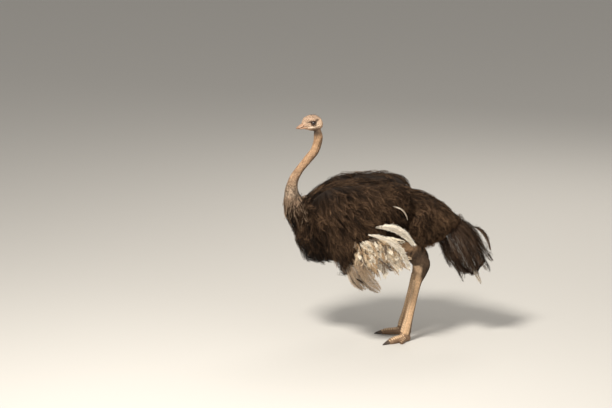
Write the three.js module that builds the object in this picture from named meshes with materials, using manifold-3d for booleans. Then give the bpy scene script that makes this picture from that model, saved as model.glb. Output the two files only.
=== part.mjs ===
// An adult male ostrich at life size, standing with its wings let down and its head turned to its left.
// Units are millimetres. The bird faces -X, its left side is towards -Y, and +Z is up.
// Sizes are laid out from the floor under the left foot's joint. At the end the whole group is moved, so that
// the origin lies on the floor under the middle of the bird's bounding box.
// Each solid is the outer form of its part, feathers included.
import * as THREE from "three";
import { mergeVertices } from "three/addons/utils/BufferGeometryUtils.js";
import Module from "manifold-3d";

const wasm = await Module();
wasm.setup();

// ---------------------------------------------------------------- driving sizes
const GAP = 0.5; // clearance between neighbouring solids

const HEAD = {
  centre: new THREE.Vector3(-654, -32, 1543), // midway between the eyes
  turn: 22, // degrees that the bill is turned to the bird's left
  dip: 6, // degrees that the bill points down
  eyeRadius: 20,
  eyeOut: 31, // from the head's middle plane to an eyeball's centre
};

const NECK = {
  // centre line from the head down into the breast, with the radius at each place
  line: [
    { x: -618, y: -22, z: 1506, r: 38 },
    { x: -608, y: -16, z: 1435, r: 33 },
    { x: -627, y: -12, z: 1352, r: 32 },
    { x: -684, y: -8, z: 1274, r: 32 },
    { x: -740, y: -4, z: 1202, r: 34 },
    { x: -781, y: 0, z: 1128, r: 39 },
    { x: -794, y: 0, z: 1056, r: 50 },
    { x: -779, y: 0, z: 975, r: 76 },
    { x: -722, y: 0, z: 890, r: 118 },
    { x: -640, y: 0, z: 830, r: 130 },
  ],
  flatness: 0.88, // its width for each millimetre of its depth
  cuts: [3.2, 6.1], // places along the line, in knots, where one length ends and the next begins
};

// Upright sections of the body from the breast to the root of the tail: the back's height, the belly's
// height, half the width, and the height of the widest place.
const TRUNK = [
  { x: -772, back: 842, belly: 842, half: 0, wide: 842 },
  { x: -758, back: 930, belly: 765, half: 62, wide: 850 },
  { x: -724, back: 1000, belly: 634, half: 108, wide: 835 },
  { x: -656, back: 1064, belly: 545, half: 152, wide: 820 },
  { x: -550, back: 1118, belly: 548, half: 192, wide: 810 },
  { x: -420, back: 1138, belly: 556, half: 228, wide: 815 },
  { x: -270, back: 1142, belly: 560, half: 252, wide: 830 },
  { x: -120, back: 1118, belly: 590, half: 262, wide: 840 },
  { x: 10, back: 1084, belly: 622, half: 252, wide: 845 },
  { x: 120, back: 1056, belly: 640, half: 232, wide: 850 },
  { x: 215, back: 1014, belly: 690, half: 200, wide: 855 },
  { x: 300, back: 950, belly: 752, half: 150, wide: 850 },
  { x: 362, back: 882, belly: 800, half: 84, wide: 840 },
  { x: 385, back: 836, belly: 836, half: 0, wide: 836 },
];
const BREAST_END = -362; // the breast is ahead of this upright plane
const RUMP_START = 60; // the rump is behind this one
const BACK_FLOOR = 1010; // the plumes of the back lie above this level, between those two planes

// Upright sections of one wing's black coverts: how far out the section's middle lies, its half
// thickness, its top and its foot, and how far the top and the foot lean in.
const WING = [
  { x: -668, top: 975, foot: 930, out: 138, thick: 8, topIn: 10, footIn: 0 },
  { x: -640, top: 1048, foot: 850, out: 164, thick: 36, topIn: 20, footIn: 10 },
  { x: -580, top: 1108, foot: 716, out: 200, thick: 56, topIn: 36, footIn: 20 },
  { x: -500, top: 1148, foot: 626, out: 230, thick: 68, topIn: 44, footIn: 10 },
  { x: -424, top: 1164, foot: 512, out: 254, thick: 74, topIn: 54, footIn: -10 },
  { x: -366, top: 1164, foot: 604, out: 264, thick: 78, topIn: 60, footIn: -10 },
  { x: -290, top: 1168, foot: 700, out: 270, thick: 80, topIn: 64, footIn: 0 },
  { x: -170, top: 1168, foot: 738, out: 268, thick: 79, topIn: 64, footIn: 10 },
  { x: -70, top: 1156, foot: 786, out: 256, thick: 72, topIn: 60, footIn: 10 },
  { x: -4, top: 1120, foot: 850, out: 232, thick: 58, topIn: 50, footIn: 10 },
  { x: 32, top: 1020, foot: 940, out: 200, thick: 8, topIn: 20, footIn: 0 },
];

// The white plumes of one wing, each a blade along a bent line seen from the side: root, bend and tip.
const PLUMES = {
  upper: [
    { root: [-250, 838], bend: [-110, 900], tip: [30, 756], out: 372, width: 104 },
  ],
  lower: [
    { root: [-290, 800], bend: [-40, 800], tip: [14, 582], out: 350, width: 72 },
    { root: [-310, 776], bend: [-120, 736], tip: [-46, 566], out: 344, width: 116 },
    { root: [-340, 716], bend: [-220, 640], tip: [-124, 500], out: 337, width: 128 },
    { root: [-370, 666], bend: [-300, 510], tip: [-186, 404], out: 329, width: 124 },
    { root: [-400, 620], bend: [-372, 470], tip: [-276, 402], out: 320, width: 96 },
  ],
};
const PLUME_THICK = 50;

const TAIL = {
  root: new THREE.Vector3(290, 0, 850),
  hang: 66.4, // degrees that the bush's axis points down
  // Sections across that axis: how far along it, the bush's edges below and above the axis, and half its width.
  bush: [
    { far: -34, under: -14, over: 8, half: 20 },
    { far: 16, under: -70, over: 80, half: 84 },
    { far: 70, under: -112, over: 124, half: 112 },
    { far: 130, under: -136, over: 146, half: 128 },
    { far: 215, under: -132, over: 160, half: 134 },
    { far: 300, under: -112, over: 156, half: 124 },
    { far: 376, under: -84, over: 138, half: 98 },
    { far: 412, under: -26, over: 76, half: 40 },
  ],
  // Plumes that stand out of the bush: where each tip lies along the axis and above it, and to the side.
  tips: [
    { far: 404, over: 176, aside: 46 },
    { far: 436, over: 132, aside: -62 },
    { far: 446, over: 46, aside: 20 },
    { far: 424, over: -56, aside: -40 },
    { far: 344, over: -108, aside: 44 },
  ],
  plumeWidth: 100,
  plumeThick: 62,
};

const LEG = {
  apart: 190, // between the two feet's joints
  // centre line from the thigh down to the foot's joint, with the half depth and half width there
  line: [
    { x: -150, z: 930, deep: 116, wide: 76, y: 96 },
    { x: -96, z: 836, deep: 134, wide: 88, y: 112 },
    { x: -30, z: 738, deep: 118, wide: 82, y: 114 },
    { x: 40, z: 654, deep: 86, wide: 64, y: 106 },
    { x: 90, z: 594, deep: 64, wide: 48, y: 100 },
    { x: 112, z: 550, deep: 62, wide: 47, y: 97 },
    { x: 103, z: 492, deep: 48, wide: 39, y: 96 },
    { x: 82, z: 420, deep: 32, wide: 28, y: 96 },
    { x: 56, z: 300, deep: 28, wide: 26, y: 95 },
    { x: 30, z: 180, deep: 29, wide: 28, y: 95 },
    { x: 10, z: 92, deep: 36, wide: 34, y: 95 },
    { x: 2, z: 54, deep: 38, wide: 36, y: 95 },
  ],
  kneeCut: 4.35, // in knots along the line, where the feathered thigh gives way to the bare shank
};

const FOOT = {
  toeLength: 150, // of the great toe ahead of the joint, without its claw
  toeHalf: 28,
  toeHigh: 46,
  clawLength: 52,
  outerLength: 104,
  outerHalf: 17,
  outerHigh: 34,
  outerSpread: 34, // degrees between the two toes
  turnOut: { left: 36, right: 4 }, // degrees that each great toe points away from the middle
  step: { left: 0, right: -13 }, // how far each foot stands ahead of the measuring point
};

// ---------------------------------------------------------------- materials
const paint = (colour, roughness) =>
  new THREE.MeshStandardMaterial({ color: colour, roughness, metalness: 0 });
const MATERIALS = {
  blackPlumage: paint(0x2c221c, 0.85), // feathers all through
  featheredFlesh: paint(0x30261f, 0.85), // flesh under a thinner coat of the same feathers
  whitePlumes: paint(0xe6dccb, 0.8),
  tailPlumes: paint(0x3a2e28, 0.85),
  neckDown: paint(0xa89684, 0.85),
  skin: paint(0xc3a084, 0.6),
  thighSkin: paint(0x7b6350, 0.6),
  shankScales: paint(0xb79b80, 0.5),
  bill: paint(0xb4917c, 0.45),
  claw: paint(0x4a3b30, 0.4),
  eye: paint(0x140d0a, 0.1),
};

// ---------------------------------------------------------------- tools
const degrees = THREE.MathUtils.degToRad;

// The value of one field of a list of stations at place t, counted in stations, on a smooth curve.
function along(stations, field, t) {
  const last = stations.length - 1;
  const i = Math.min(Math.floor(t), last - 1);
  const f = t - i;
  const at = (k) => stations[Math.max(0, Math.min(last, k))][field];
  const slope = (k) => {
    const before = at(k) - at(k - 1);
    const after = at(k + 1) - at(k);
    if (k <= 0) return after;
    if (k >= last) return before;
    return before * after <= 0 ? 0 : (2 * before * after) / (before + after);
  };
  const f2 = f * f;
  const f3 = f2 * f;
  return (
    at(i) * (2 * f3 - 3 * f2 + 1) +
    slope(i) * (f3 - 2 * f2 + f) +
    at(i + 1) * (3 * f2 - 2 * f3) +
    slope(i + 1) * (f3 - f2)
  );
}

const middle = (ring) =>
  ring.reduce((sum, p) => sum.add(p), new THREE.Vector3()).divideScalar(ring.length);

// Moves the first and the last ring outwards, so that a grown form also covers the ends.
function lengthen(rings, grow) {
  const move = (ring, neighbour) => {
    const outwards = middle(ring).sub(middle(neighbour)).normalize().multiplyScalar(grow);
    ring.forEach((p) => p.add(outwards));
  };
  if (grow === 0) return rings;
  move(rings[0], rings[1]);
  move(rings[rings.length - 1], rings[rings.length - 2]);
  return rings;
}

// A closed surface over rings of points, each ring the same length, with a fan of triangles at each end.
function skinOver(rings) {
  const sides = rings[0].length;
  const points = [...rings.flat(), middle(rings[0]), middle(rings[rings.length - 1])];
  const firstMiddle = rings.length * sides;
  const faces = [];
  for (let r = 0; r < rings.length - 1; r++)
    for (let s = 0; s < sides; s++) {
      const next = (s + 1) % sides;
      const a = r * sides + s;
      const b = r * sides + next;
      faces.push(a, b, b + sides, a, b + sides, a + sides);
    }
  const lastRing = (rings.length - 1) * sides;
  for (let s = 0; s < sides; s++) {
    const next = (s + 1) % sides;
    faces.push(firstMiddle, next, s);
    faces.push(firstMiddle + 1, lastRing + s, lastRing + next);
  }
  const geometry = new THREE.BufferGeometry().setFromPoints(points);
  geometry.setIndex(faces);
  return geometry;
}

function solidOf(geometry) {
  const bare = geometry.clone();
  bare.deleteAttribute("normal");
  bare.deleteAttribute("uv");
  const merged = mergeVertices(bare, 1e-3);
  const solid = new wasm.Manifold(
    new wasm.Mesh({
      numProp: 3,
      vertProperties: new Float32Array(merged.attributes.position.array),
      triVerts: new Uint32Array(merged.index.array),
    }),
  );
  if (solid.volume() > 0) return solid;
  const turned = merged.index.array;
  for (let i = 0; i < turned.length; i += 3)
    [turned[i + 1], turned[i + 2]] = [turned[i + 2], turned[i + 1]];
  return new wasm.Manifold(
    new wasm.Mesh({
      numProp: 3,
      vertProperties: new Float32Array(merged.attributes.position.array),
      triVerts: new Uint32Array(turned),
    }),
  );
}

// The largest single body of a solid, without the crumbs that a cut can leave.
function mainBody(solid) {
  return solid
    .decompose()
    .reduce((best, piece) => (piece.volume() > best.volume() ? piece : best));
}

function geometryOf(solid) {
  const mesh = solid.getMesh();
  const geometry = new THREE.BufferGeometry();
  const positions = [];
  for (let i = 0; i < mesh.vertProperties.length; i += mesh.numProp)
    positions.push(...mesh.vertProperties.slice(i, i + 3));
  geometry.setAttribute("position", new THREE.Float32BufferAttribute(positions, 3));
  geometry.setIndex([...mesh.triVerts]);
  return geometry;
}

const joined = (solids) => solids.reduce((sum, solid) => sum.add(solid));
const without = (solid, ...cutters) =>
  cutters.reduce((rest, cutter) => rest.subtract(cutter), solid);

function block(lowX, highX, lowY, highY, lowZ, highZ) {
  const box = new THREE.BoxGeometry(highX - lowX, highY - lowY, highZ - lowZ);
  box.translate((lowX + highX) / 2, (lowY + highY) / 2, (lowZ + highZ) / 2);
  return solidOf(box);
}
const FAR = 3000;
const belowFloor = block(-FAR, FAR, -FAR, FAR, -FAR, 0);

// Points of one cross-section, evenly spread in angle, from a function of that angle.
const section = (sides, place) =>
  Array.from({ length: sides }, (_, s) => place((s / sides) * 2 * Math.PI));

// A row of places from start to end, closer together near both ends when rounded is true.
const places = (start, end, steps, rounded) =>
  Array.from({ length: steps + 1 }, (_, i) => {
    const f = rounded ? (1 - Math.cos((Math.PI * i) / steps)) / 2 : i / steps;
    return start + (end - start) * f;
  });

// ---------------------------------------------------------------- forms
// The body between two upright planes. grow makes it that much bigger all round.
function trunkForm(grow, steps = 19, sides = 18) {
  const shagHeight = 7; // the plumage hangs in shallow folds
  const rings = places(0, TRUNK.length - 1, steps, false).map((t) => {
    const x = along(TRUNK, "x", t);
    const back = along(TRUNK, "back", t);
    const belly = along(TRUNK, "belly", t);
    const half = along(TRUNK, "half", t);
    const wide = along(TRUNK, "wide", t);
    const fullness = Math.min(1, half / 150);
    return section(sides, (angle) => {
      const up = Math.sin(angle);
      const side = Math.cos(angle);
      const reach = up > 0 ? back - wide : wide - belly;
      const fold = shagHeight * fullness * Math.sin(angle * 4 + t * 2.4) * Math.abs(side);
      const squared = Math.sign(side) * Math.pow(Math.abs(side), 0.86);
      return new THREE.Vector3(
        x,
        (half + grow + fold) * squared,
        wide + (reach + grow) * Math.sign(up) * Math.pow(Math.abs(up), 0.94),
      );
    });
  });
  return solidOf(skinOver(lengthen(rings, grow)));
}

// One wing's coverts. side is -1 for the left wing and +1 for the right.
function wingForm(side, grow) {
  const steps = 17;
  const sides = 14;
  const rings = places(0, WING.length - 1, steps, false).map((t) => {
    const value = (field) => along(WING, field, t);
    const height = (value("top") + value("foot")) / 2;
    const high = (value("top") - value("foot")) / 2 + grow;
    const thick = value("thick") + grow;
    return section(sides, (angle) => {
      const up = Math.sin(angle);
      const lean = up > 0 ? value("topIn") : value("footIn");
      const fold = 6 * Math.sin(angle * 3 + t * 2.1) * Math.min(1, thick / 60);
      const out = value("out") - lean * up * up + (thick + fold) * Math.cos(angle);
      return new THREE.Vector3(value("x"), side * out, height + high * up);
    });
  });
  return solidOf(skinOver(lengthen(rings, grow)));
}

// A plume: a blade with a lens section along a bent line, broadest beyond its middle and rounded at its tip.
function bladeForm(root, bend, tip, flatAcross, width, thick, grow, steps = 5, sides = 6) {
  const line = new THREE.QuadraticBezierCurve3(root, bend, tip);
  const rings = places(0, 1, steps, true).map((t) => {
    const centre = line.getPoint(t);
    const ahead = line.getTangent(t);
    const across = flatAcross.clone().addScaledVector(ahead, -flatAcross.dot(ahead));
    across.normalize();
    const through = new THREE.Vector3().crossVectors(ahead, across);
    const body = Math.max(0.02, Math.pow(Math.sin(Math.PI * Math.pow(t * 0.93 + 0.07, 1.3)), 0.6));
    const halfWide = (width / 2) * body + grow;
    const halfThick = (thick / 2) * body + grow;
    return section(sides, (angle) =>
      centre
        .clone()
        .addScaledVector(across, halfWide * Math.cos(angle))
        .addScaledVector(through, halfThick * Math.sin(angle)),
    );
  });
  return solidOf(skinOver(lengthen(rings, grow)));
}

function plumesForm(list, side, grow) {
  const upright = new THREE.Vector3(0, 0, 1);
  return joined(
    list.map(({ root, bend, tip, out, width }) => {
      const at = ([x, z], inward) => new THREE.Vector3(x, side * (out - inward), z);
      return bladeForm(
        at(root, 40), at(bend, -8), at(tip, 26), upright, width, PLUME_THICK, grow,
      );
    }),
  );
}

// The tail's bushy body, with plumes standing out of its lower end.
function tailForm(grow) {
  const hang = degrees(TAIL.hang);
  const ahead = new THREE.Vector3(Math.cos(hang), 0, -Math.sin(hang));
  const above = new THREE.Vector3(Math.sin(hang), 0, Math.cos(hang));
  const at = (far, over, aside) =>
    TAIL.root
      .clone()
      .addScaledVector(ahead, far)
      .addScaledVector(above, over)
      .add(new THREE.Vector3(0, aside, 0));
  const rings = places(0, TAIL.bush.length - 1, 11, false).map((t) => {
    const value = (field) => along(TAIL.bush, field, t);
    const height = (value("over") + value("under")) / 2;
    const high = (value("over") - value("under")) / 2 + grow;
    return section(14, (angle) =>
      at(
        value("far"),
        height + high * Math.sin(angle),
        (value("half") + grow) * Math.cos(angle),
      ),
    );
  });
  const plumes = TAIL.tips.map(({ far, over, aside }) =>
    bladeForm(
      at(far - 240, over * 0.5, aside),
      at(far - 130, over * 0.92, aside * 1.3),
      at(far, over, aside * 1.5),
      new THREE.Vector3(0, 1, 0), TAIL.plumeWidth, TAIL.plumeThick, grow, 4, 6,
    ),
  );
  return joined([solidOf(skinOver(lengthen(rings, grow))), ...plumes]);
}

// The coverts over the tail, which hang in a smaller bunch.
function tailCovertsForm(grow) {
  return bladeForm(
    new THREE.Vector3(270, 0, 842),
    new THREE.Vector3(420, 0, 868),
    new THREE.Vector3(544, 0, 640),
    new THREE.Vector3(0, 1, 0), 236, 96, grow, 6, 8,
  );
}

// One long tail plume that stands off behind the others.
function looseTailPlume(grow) {
  return bladeForm(
    new THREE.Vector3(430, -14, 842),
    new THREE.Vector3(572, -26, 806),
    new THREE.Vector3(594, -34, 648),
    new THREE.Vector3(0.8, 0, 0.6), 34, 14, grow, 6, 6,
  );
}

// A stretch of the neck between two knots of its line.
function neckForm(from, to, grow) {
  const line = NECK.line;
  const centreAt = (t) =>
    new THREE.Vector3(along(line, "x", t), along(line, "y", t), along(line, "z", t));
  const steps = Math.max(4, Math.round((to - from) * 2));
  const rings = places(from, to, steps, false).map((t) => {
    const nudge = 0.01;
    const low = Math.max(0, t - nudge);
    const high = Math.min(line.length - 1, t + nudge);
    const ahead = centreAt(high).sub(centreAt(low)).normalize();
    const across = new THREE.Vector3(0, 1, 0).addScaledVector(ahead, -ahead.y).normalize();
    const through = new THREE.Vector3().crossVectors(ahead, across);
    const centre = centreAt(t);
    const radius = along(line, "r", t) + grow;
    return section(14, (angle) =>
      centre
        .clone()
        .addScaledVector(across, radius * NECK.flatness * Math.cos(angle))
        .addScaledVector(through, radius * Math.sin(angle)),
    );
  });
  return solidOf(skinOver(lengthen(rings, grow)));
}

// A stretch of a leg between two knots of its line.
function legForm(side, shift, from, to, grow, sides = 10) {
  const line = LEG.line;
  const steps = Math.max(5, Math.round((to - from) * 1.7));
  const rings = places(from, to, steps, false).map((t) => {
    const value = (field) => along(line, field, t);
    const nudge = 0.02;
    const low = Math.max(0, t - nudge);
    const high = Math.min(line.length - 1, t + nudge);
    const dx = along(line, "x", high) - along(line, "x", low);
    const dz = along(line, "z", high) - along(line, "z", low);
    const length = Math.hypot(dx, dz);
    const frontwards = new THREE.Vector3(dz / length, 0, -dx / length);
    const move = shift * THREE.MathUtils.smoothstep(700 - value("z"), 0, 650);
    const centre = new THREE.Vector3(value("x") + move, side * value("y"), value("z"));
    return section(sides, (angle) =>
      centre
        .clone()
        .addScaledVector(frontwards, (value("deep") + grow) * Math.cos(angle))
        .addScaledVector(new THREE.Vector3(0, 1, 0), (value("wide") + grow) * Math.sin(angle)),
    );
  });
  return solidOf(skinOver(lengthen(rings, grow)));
}

// A toe on the floor, pointing along a heading measured from straight ahead towards its own side.
// Each station: how far along, half the width, the top's height and how far the underside is below the floor.
function toeForm(joint, side, heading, stations, grow) {
  const ahead = new THREE.Vector3(-Math.cos(heading), side * Math.sin(heading), 0);
  const across = new THREE.Vector3(-ahead.y, ahead.x, 0);
  const steps = 7;
  const rings = places(0, stations.length - 1, steps, false).map((t) => {
    const value = (field) => along(stations, field, t);
    const height = (value("top") + value("under")) / 2;
    const high = (value("top") - value("under")) / 2 + grow;
    const half = value("half") + grow;
    return section(8, (angle) =>
      joint
        .clone()
        .addScaledVector(ahead, value("far"))
        .addScaledVector(across, half * Math.cos(angle))
        .setZ(height + high * Math.sin(angle)),
    );
  });
  return solidOf(skinOver(lengthen(rings, grow)));
}

const greatToe = [
  { far: -38, half: 4, top: 22, under: 4 },
  { far: -32, half: 22, top: 50, under: -5 },
  { far: 0, half: 33, top: 72, under: -8 },
  { far: 46, half: FOOT.toeHalf, top: 52, under: -8 },
  { far: 100, half: FOOT.toeHalf, top: FOOT.toeHigh, under: -8 },
  { far: 138, half: 23, top: 36, under: -6 },
  { far: FOOT.toeLength, half: 10, top: 22, under: 4 },
];
const outerToe = [
  { far: -6, half: 10, top: 46, under: 6 },
  { far: 24, half: 19, top: 44, under: -6 },
  { far: 66, half: FOOT.outerHalf, top: FOOT.outerHigh, under: -7 },
  { far: 94, half: 14, top: 26, under: -5 },
  { far: FOOT.outerLength, half: 5, top: 16, under: 4 },
];
const greatClaw = [
  { far: 122, half: 10, top: 32, under: 12 },
  { far: 142, half: 15, top: 31, under: 2 },
  { far: 170, half: 12, top: 22, under: -3 },
  { far: FOOT.toeLength + FOOT.clawLength - 10, half: 6, top: 11, under: -2 },
  { far: FOOT.toeLength + FOOT.clawLength, half: 1.5, top: 4, under: 1 },
];

// ---------------------------------------------------------------- head
// Sections across the head's own length, measured from between the eyes towards the bill.
const SKULL = [
  { x: -79, top: -8, low: -24, half: 4 },
  { x: -73, top: 9, low: -46, half: 26 },
  { x: -54, top: 34, low: -56, half: 39 },
  { x: -22, top: 52, low: -61, half: 45 },
  { x: 10, top: 56, low: -58, half: 45 },
  { x: 34, top: 50, low: -48, half: 38 },
  { x: 56, top: 36, low: -40, half: 31 },
  { x: 69, top: 14, low: -34, half: 25 },
];
const UPPER_BILL = [
  { x: 44, top: 15, low: -14, half: 25 },
  { x: 60, top: 8, low: -16, half: 27 },
  { x: 78, top: -1, low: -18, half: 26 },
  { x: 95, top: -8, low: -21, half: 22 },
  { x: 110, top: -14, low: -25, half: 14 },
  { x: 118, top: -20, low: -26, half: 4 },
];
const LOWER_BILL = [
  { x: 28, top: -14, low: -38, half: 22 },
  { x: 52, top: -12, low: -37, half: 26 },
  { x: 72, top: -14, low: -34, half: 24 },
  { x: 91, top: -17, low: -32, half: 20 },
  { x: 106, top: -20, low: -29, half: 12 },
  { x: 113, top: -23, low: -27, half: 4 },
];

// Turns a head-frame solid (bill along +X, left side along +Y) into place.
const headPlace = new THREE.Matrix4().compose(
  HEAD.centre,
  new THREE.Quaternion().setFromEuler(
    new THREE.Euler(0, degrees(HEAD.dip), degrees(180 + HEAD.turn), "ZYX"),
  ),
  new THREE.Vector3(1, 1, 1),
);

function headSolid(geometry) {
  return solidOf(geometry.applyMatrix4(headPlace));
}

function headLoft(stations, grow, steps, sides, roundness) {
  const rings = places(0, stations.length - 1, steps, false).map((t) => {
    const value = (field) => along(stations, field, t);
    const height = (value("top") + value("low")) / 2;
    const high = (value("top") - value("low")) / 2 + grow;
    const half = value("half") + grow;
    return section(sides, (angle) => {
      const side = Math.cos(angle);
      const up = Math.sin(angle);
      return new THREE.Vector3(
        value("x"),
        half * Math.sign(side) * Math.pow(Math.abs(side), roundness),
        height + high * Math.sign(up) * Math.pow(Math.abs(up), roundness),
      );
    });
  });
  return headSolid(skinOver(lengthen(rings, grow)));
}

function headBall(radius, x, y, z, sides, stretch = [1, 1, 1]) {
  const ball = new THREE.SphereGeometry(radius, sides, Math.round(sides * 0.7));
  ball.scale(...stretch);
  ball.translate(x, y, z);
  return headSolid(ball);
}

const eyeForm = (side, grow) =>
  headBall(HEAD.eyeRadius + grow, 1, -side * HEAD.eyeOut, 4, 12);
const earForm = (side, grow) =>
  headBall(10 + grow, -36, -side * 41, -15, 8, [0.85, 0.5, 1.15]);

// ---------------------------------------------------------------- the bird
const SIDES = [
  { name: "left", side: -1 },
  { name: "right", side: 1 },
];
const bird = new THREE.Group();

function place(name, solid, material) {
  const mesh = new THREE.Mesh(geometryOf(mainBody(solid)), material);
  mesh.name = name;
  bird.add(mesh);
}

// Head, with its bill, eyes and ears set into it.
const upperBill = (grow) => headLoft(UPPER_BILL, grow, 6, 10, 0.9);
const lowerBill = (grow) => headLoft(LOWER_BILL, grow, 6, 10, 0.9);
const skull = (grow) => headLoft(SKULL, grow, 10, 14, 0.95);
const headHollows = [upperBill(GAP), lowerBill(GAP)];
for (const { name, side } of SIDES) {
  place("eye_" + name, eyeForm(side, 0), MATERIALS.eye);
  place("ear_" + name, earForm(side, 0), MATERIALS.skin);
  headHollows.push(eyeForm(side, GAP), earForm(side, GAP));
}
place("bill_upper", upperBill(0), MATERIALS.bill);
place("bill_lower", without(lowerBill(0), upperBill(GAP)), MATERIALS.bill);
place("head", without(skull(0), ...headHollows), MATERIALS.skin);

// Neck, in three lengths.
const neckEnds = [0, ...NECK.cuts, NECK.line.length - 1];
const neckNames = ["neck_upper", "neck_middle", "neck_lower"];
const neckMaterials = [MATERIALS.skin, MATERIALS.neckDown, MATERIALS.blackPlumage];
const knotGap = 0.006; // in knots, so that one length ends clear of the next
const neckStretch = (i, grow) =>
  neckForm(neckEnds[i] + (i > 0 ? knotGap : 0), neckEnds[i + 1] - knotGap, grow);
neckNames.forEach((name, i) => {
  const hollows = i === 0 ? [skull(GAP), lowerBill(GAP), earForm(-1, GAP), earForm(1, GAP)] : [];
  place(name, without(neckStretch(i, 0), ...hollows), neckMaterials[i]);
});
const neckRoot = neckStretch(2, GAP);

// Legs and feet.
const legHollows = [];
for (const { name, side } of SIDES) {
  const shift = FOOT.step[name];
  const knee = LEG.kneeCut;
  const footEnd = LEG.line.length - 1;
  const joint = new THREE.Vector3(2 + shift, (side * LEG.apart) / 2, 0);
  const heading = degrees(FOOT.turnOut[name]);
  const outerHeading = heading + degrees(FOOT.outerSpread);
  const great = (grow) => toeForm(joint, side, heading, greatToe, grow);
  const claw = (grow) => toeForm(joint, side, heading, greatClaw, grow);
  const thigh = (grow) => legForm(side, shift, 0, knee - knotGap, grow);
  const shank = (grow) => legForm(side, shift, knee + knotGap, footEnd, grow);
  place("thigh_" + name, thigh(0), MATERIALS.thighSkin);
  place("shank_" + name, without(shank(0), great(GAP)), MATERIALS.shankScales);
  place("toe_great_" + name, without(great(0), claw(GAP), belowFloor), MATERIALS.shankScales);
  place("claw_" + name, without(claw(0), belowFloor), MATERIALS.claw);
  const outer = toeForm(joint, side, outerHeading, outerToe, 0);
  place(
    "toe_outer_" + name,
    without(outer, great(GAP), shank(GAP), belowFloor),
    MATERIALS.shankScales,
  );
  legHollows.push(thigh(GAP), shank(GAP));
}

// Trunk, in three parts.
const body = without(trunkForm(0), neckRoot, ...legHollows);
const breastRoom = block(-FAR, BREAST_END, -FAR, FAR, -FAR, FAR);
const backRoom = block(BREAST_END + GAP, RUMP_START - GAP, -FAR, FAR, BACK_FLOOR, FAR);
const trunkRoom = block(BREAST_END + GAP, RUMP_START - GAP, -FAR, FAR, -FAR, BACK_FLOOR - GAP);
const rumpRoom = block(RUMP_START, FAR, -FAR, FAR, -FAR, FAR);
place("breast", body.intersect(breastRoom), MATERIALS.blackPlumage);
place("back", body.intersect(backRoom), MATERIALS.blackPlumage);
place("trunk", body.intersect(trunkRoom), MATERIALS.featheredFlesh);
place("rump", body.intersect(rumpRoom), MATERIALS.featheredFlesh);

// Wings, with their white plumes.
const bodyGrown = trunkForm(GAP);
for (const { name, side } of SIDES) {
  const flesh = [bodyGrown, neckRoot, ...legHollows];
  place("wing_" + name, without(wingForm(side, 0), ...flesh), MATERIALS.blackPlumage);
  const upper = plumesForm(PLUMES.upper, side, 0);
  const lower = plumesForm(PLUMES.lower, side, 0);
  const covertsGrown = wingForm(side, GAP);
  const upperGrown = plumesForm(PLUMES.upper, side, GAP);
  place("wing_upper_plumes_" + name, without(upper, covertsGrown, bodyGrown), MATERIALS.whitePlumes);
  place(
    "wing_lower_plumes_" + name,
    without(lower, covertsGrown, upperGrown, ...flesh),
    MATERIALS.whitePlumes,
  );
}

// Tail.
place("tail", without(tailForm(0), bodyGrown), MATERIALS.tailPlumes);
place("tail_coverts", without(tailCovertsForm(0), bodyGrown, tailForm(GAP)), MATERIALS.blackPlumage);
place(
  "tail_loose_plume",
  without(looseTailPlume(0), bodyGrown, tailForm(GAP), tailCovertsForm(GAP)),
  MATERIALS.tailPlumes,
);

// The origin goes to the floor under the middle of the bird.
bird.updateMatrixWorld(true);
const bounds = new THREE.Box3().setFromObject(bird);
const centre = bounds.getCenter(new THREE.Vector3());
bird.position.set(-centre.x, -centre.y, -bounds.min.z);

export default bird;
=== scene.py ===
"""Dresses the ostrich's solids: one skin, eyes, bill, claws, scutes, down and plumage, and a stage."""

import math

import bpy
import numpy as np
from bpy.props import FloatProperty, FloatVectorProperty, IntProperty, PointerProperty
from mathutils import Matrix, Vector, bvhtree, kdtree


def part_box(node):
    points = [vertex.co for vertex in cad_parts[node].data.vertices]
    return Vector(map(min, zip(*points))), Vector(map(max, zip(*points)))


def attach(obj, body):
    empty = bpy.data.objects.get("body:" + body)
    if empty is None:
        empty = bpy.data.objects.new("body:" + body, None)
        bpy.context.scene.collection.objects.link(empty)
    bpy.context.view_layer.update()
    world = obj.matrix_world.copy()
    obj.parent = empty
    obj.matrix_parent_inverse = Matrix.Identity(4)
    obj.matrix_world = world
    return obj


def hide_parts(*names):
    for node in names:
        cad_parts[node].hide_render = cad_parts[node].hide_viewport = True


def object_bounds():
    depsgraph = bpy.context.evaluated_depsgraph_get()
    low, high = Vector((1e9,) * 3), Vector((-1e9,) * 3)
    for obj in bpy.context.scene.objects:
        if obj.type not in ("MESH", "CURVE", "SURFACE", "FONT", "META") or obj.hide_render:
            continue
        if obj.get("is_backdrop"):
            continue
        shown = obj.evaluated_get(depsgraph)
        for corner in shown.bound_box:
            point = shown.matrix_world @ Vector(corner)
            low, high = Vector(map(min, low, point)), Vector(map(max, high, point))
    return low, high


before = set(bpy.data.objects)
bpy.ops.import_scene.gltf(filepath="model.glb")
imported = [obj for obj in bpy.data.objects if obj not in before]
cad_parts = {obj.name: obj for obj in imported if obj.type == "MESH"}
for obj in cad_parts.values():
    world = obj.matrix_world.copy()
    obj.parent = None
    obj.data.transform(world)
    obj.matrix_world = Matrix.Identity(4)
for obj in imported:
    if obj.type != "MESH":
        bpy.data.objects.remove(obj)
CAD_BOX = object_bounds()

bl_info = {
    "name": "Ostrich",
    "version": (1, 0, 0),
    "blender": (4, 5, 0),
    "location": "3D View > Sidebar > Ostrich",
    "description": "Builds the skin, horn and plumage of a standing ostrich around its solids",
    "category": "Add Mesh",
}

# ------------------------------------------------------------------ sizes
# The tables hold millimetres in the bird's own measuring frame: the bird faces -X, its left side is -Y,
# and +Z is up from the floor. to_frame() turns them into metres in the frame of the solids.
MM = 0.001
TURN = 2 * math.pi


def stations(fields, *rows):
    """A table of numbers down a body part, one array for each named field."""
    return dict(zip(fields.split(), np.array(rows, float).T))


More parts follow.
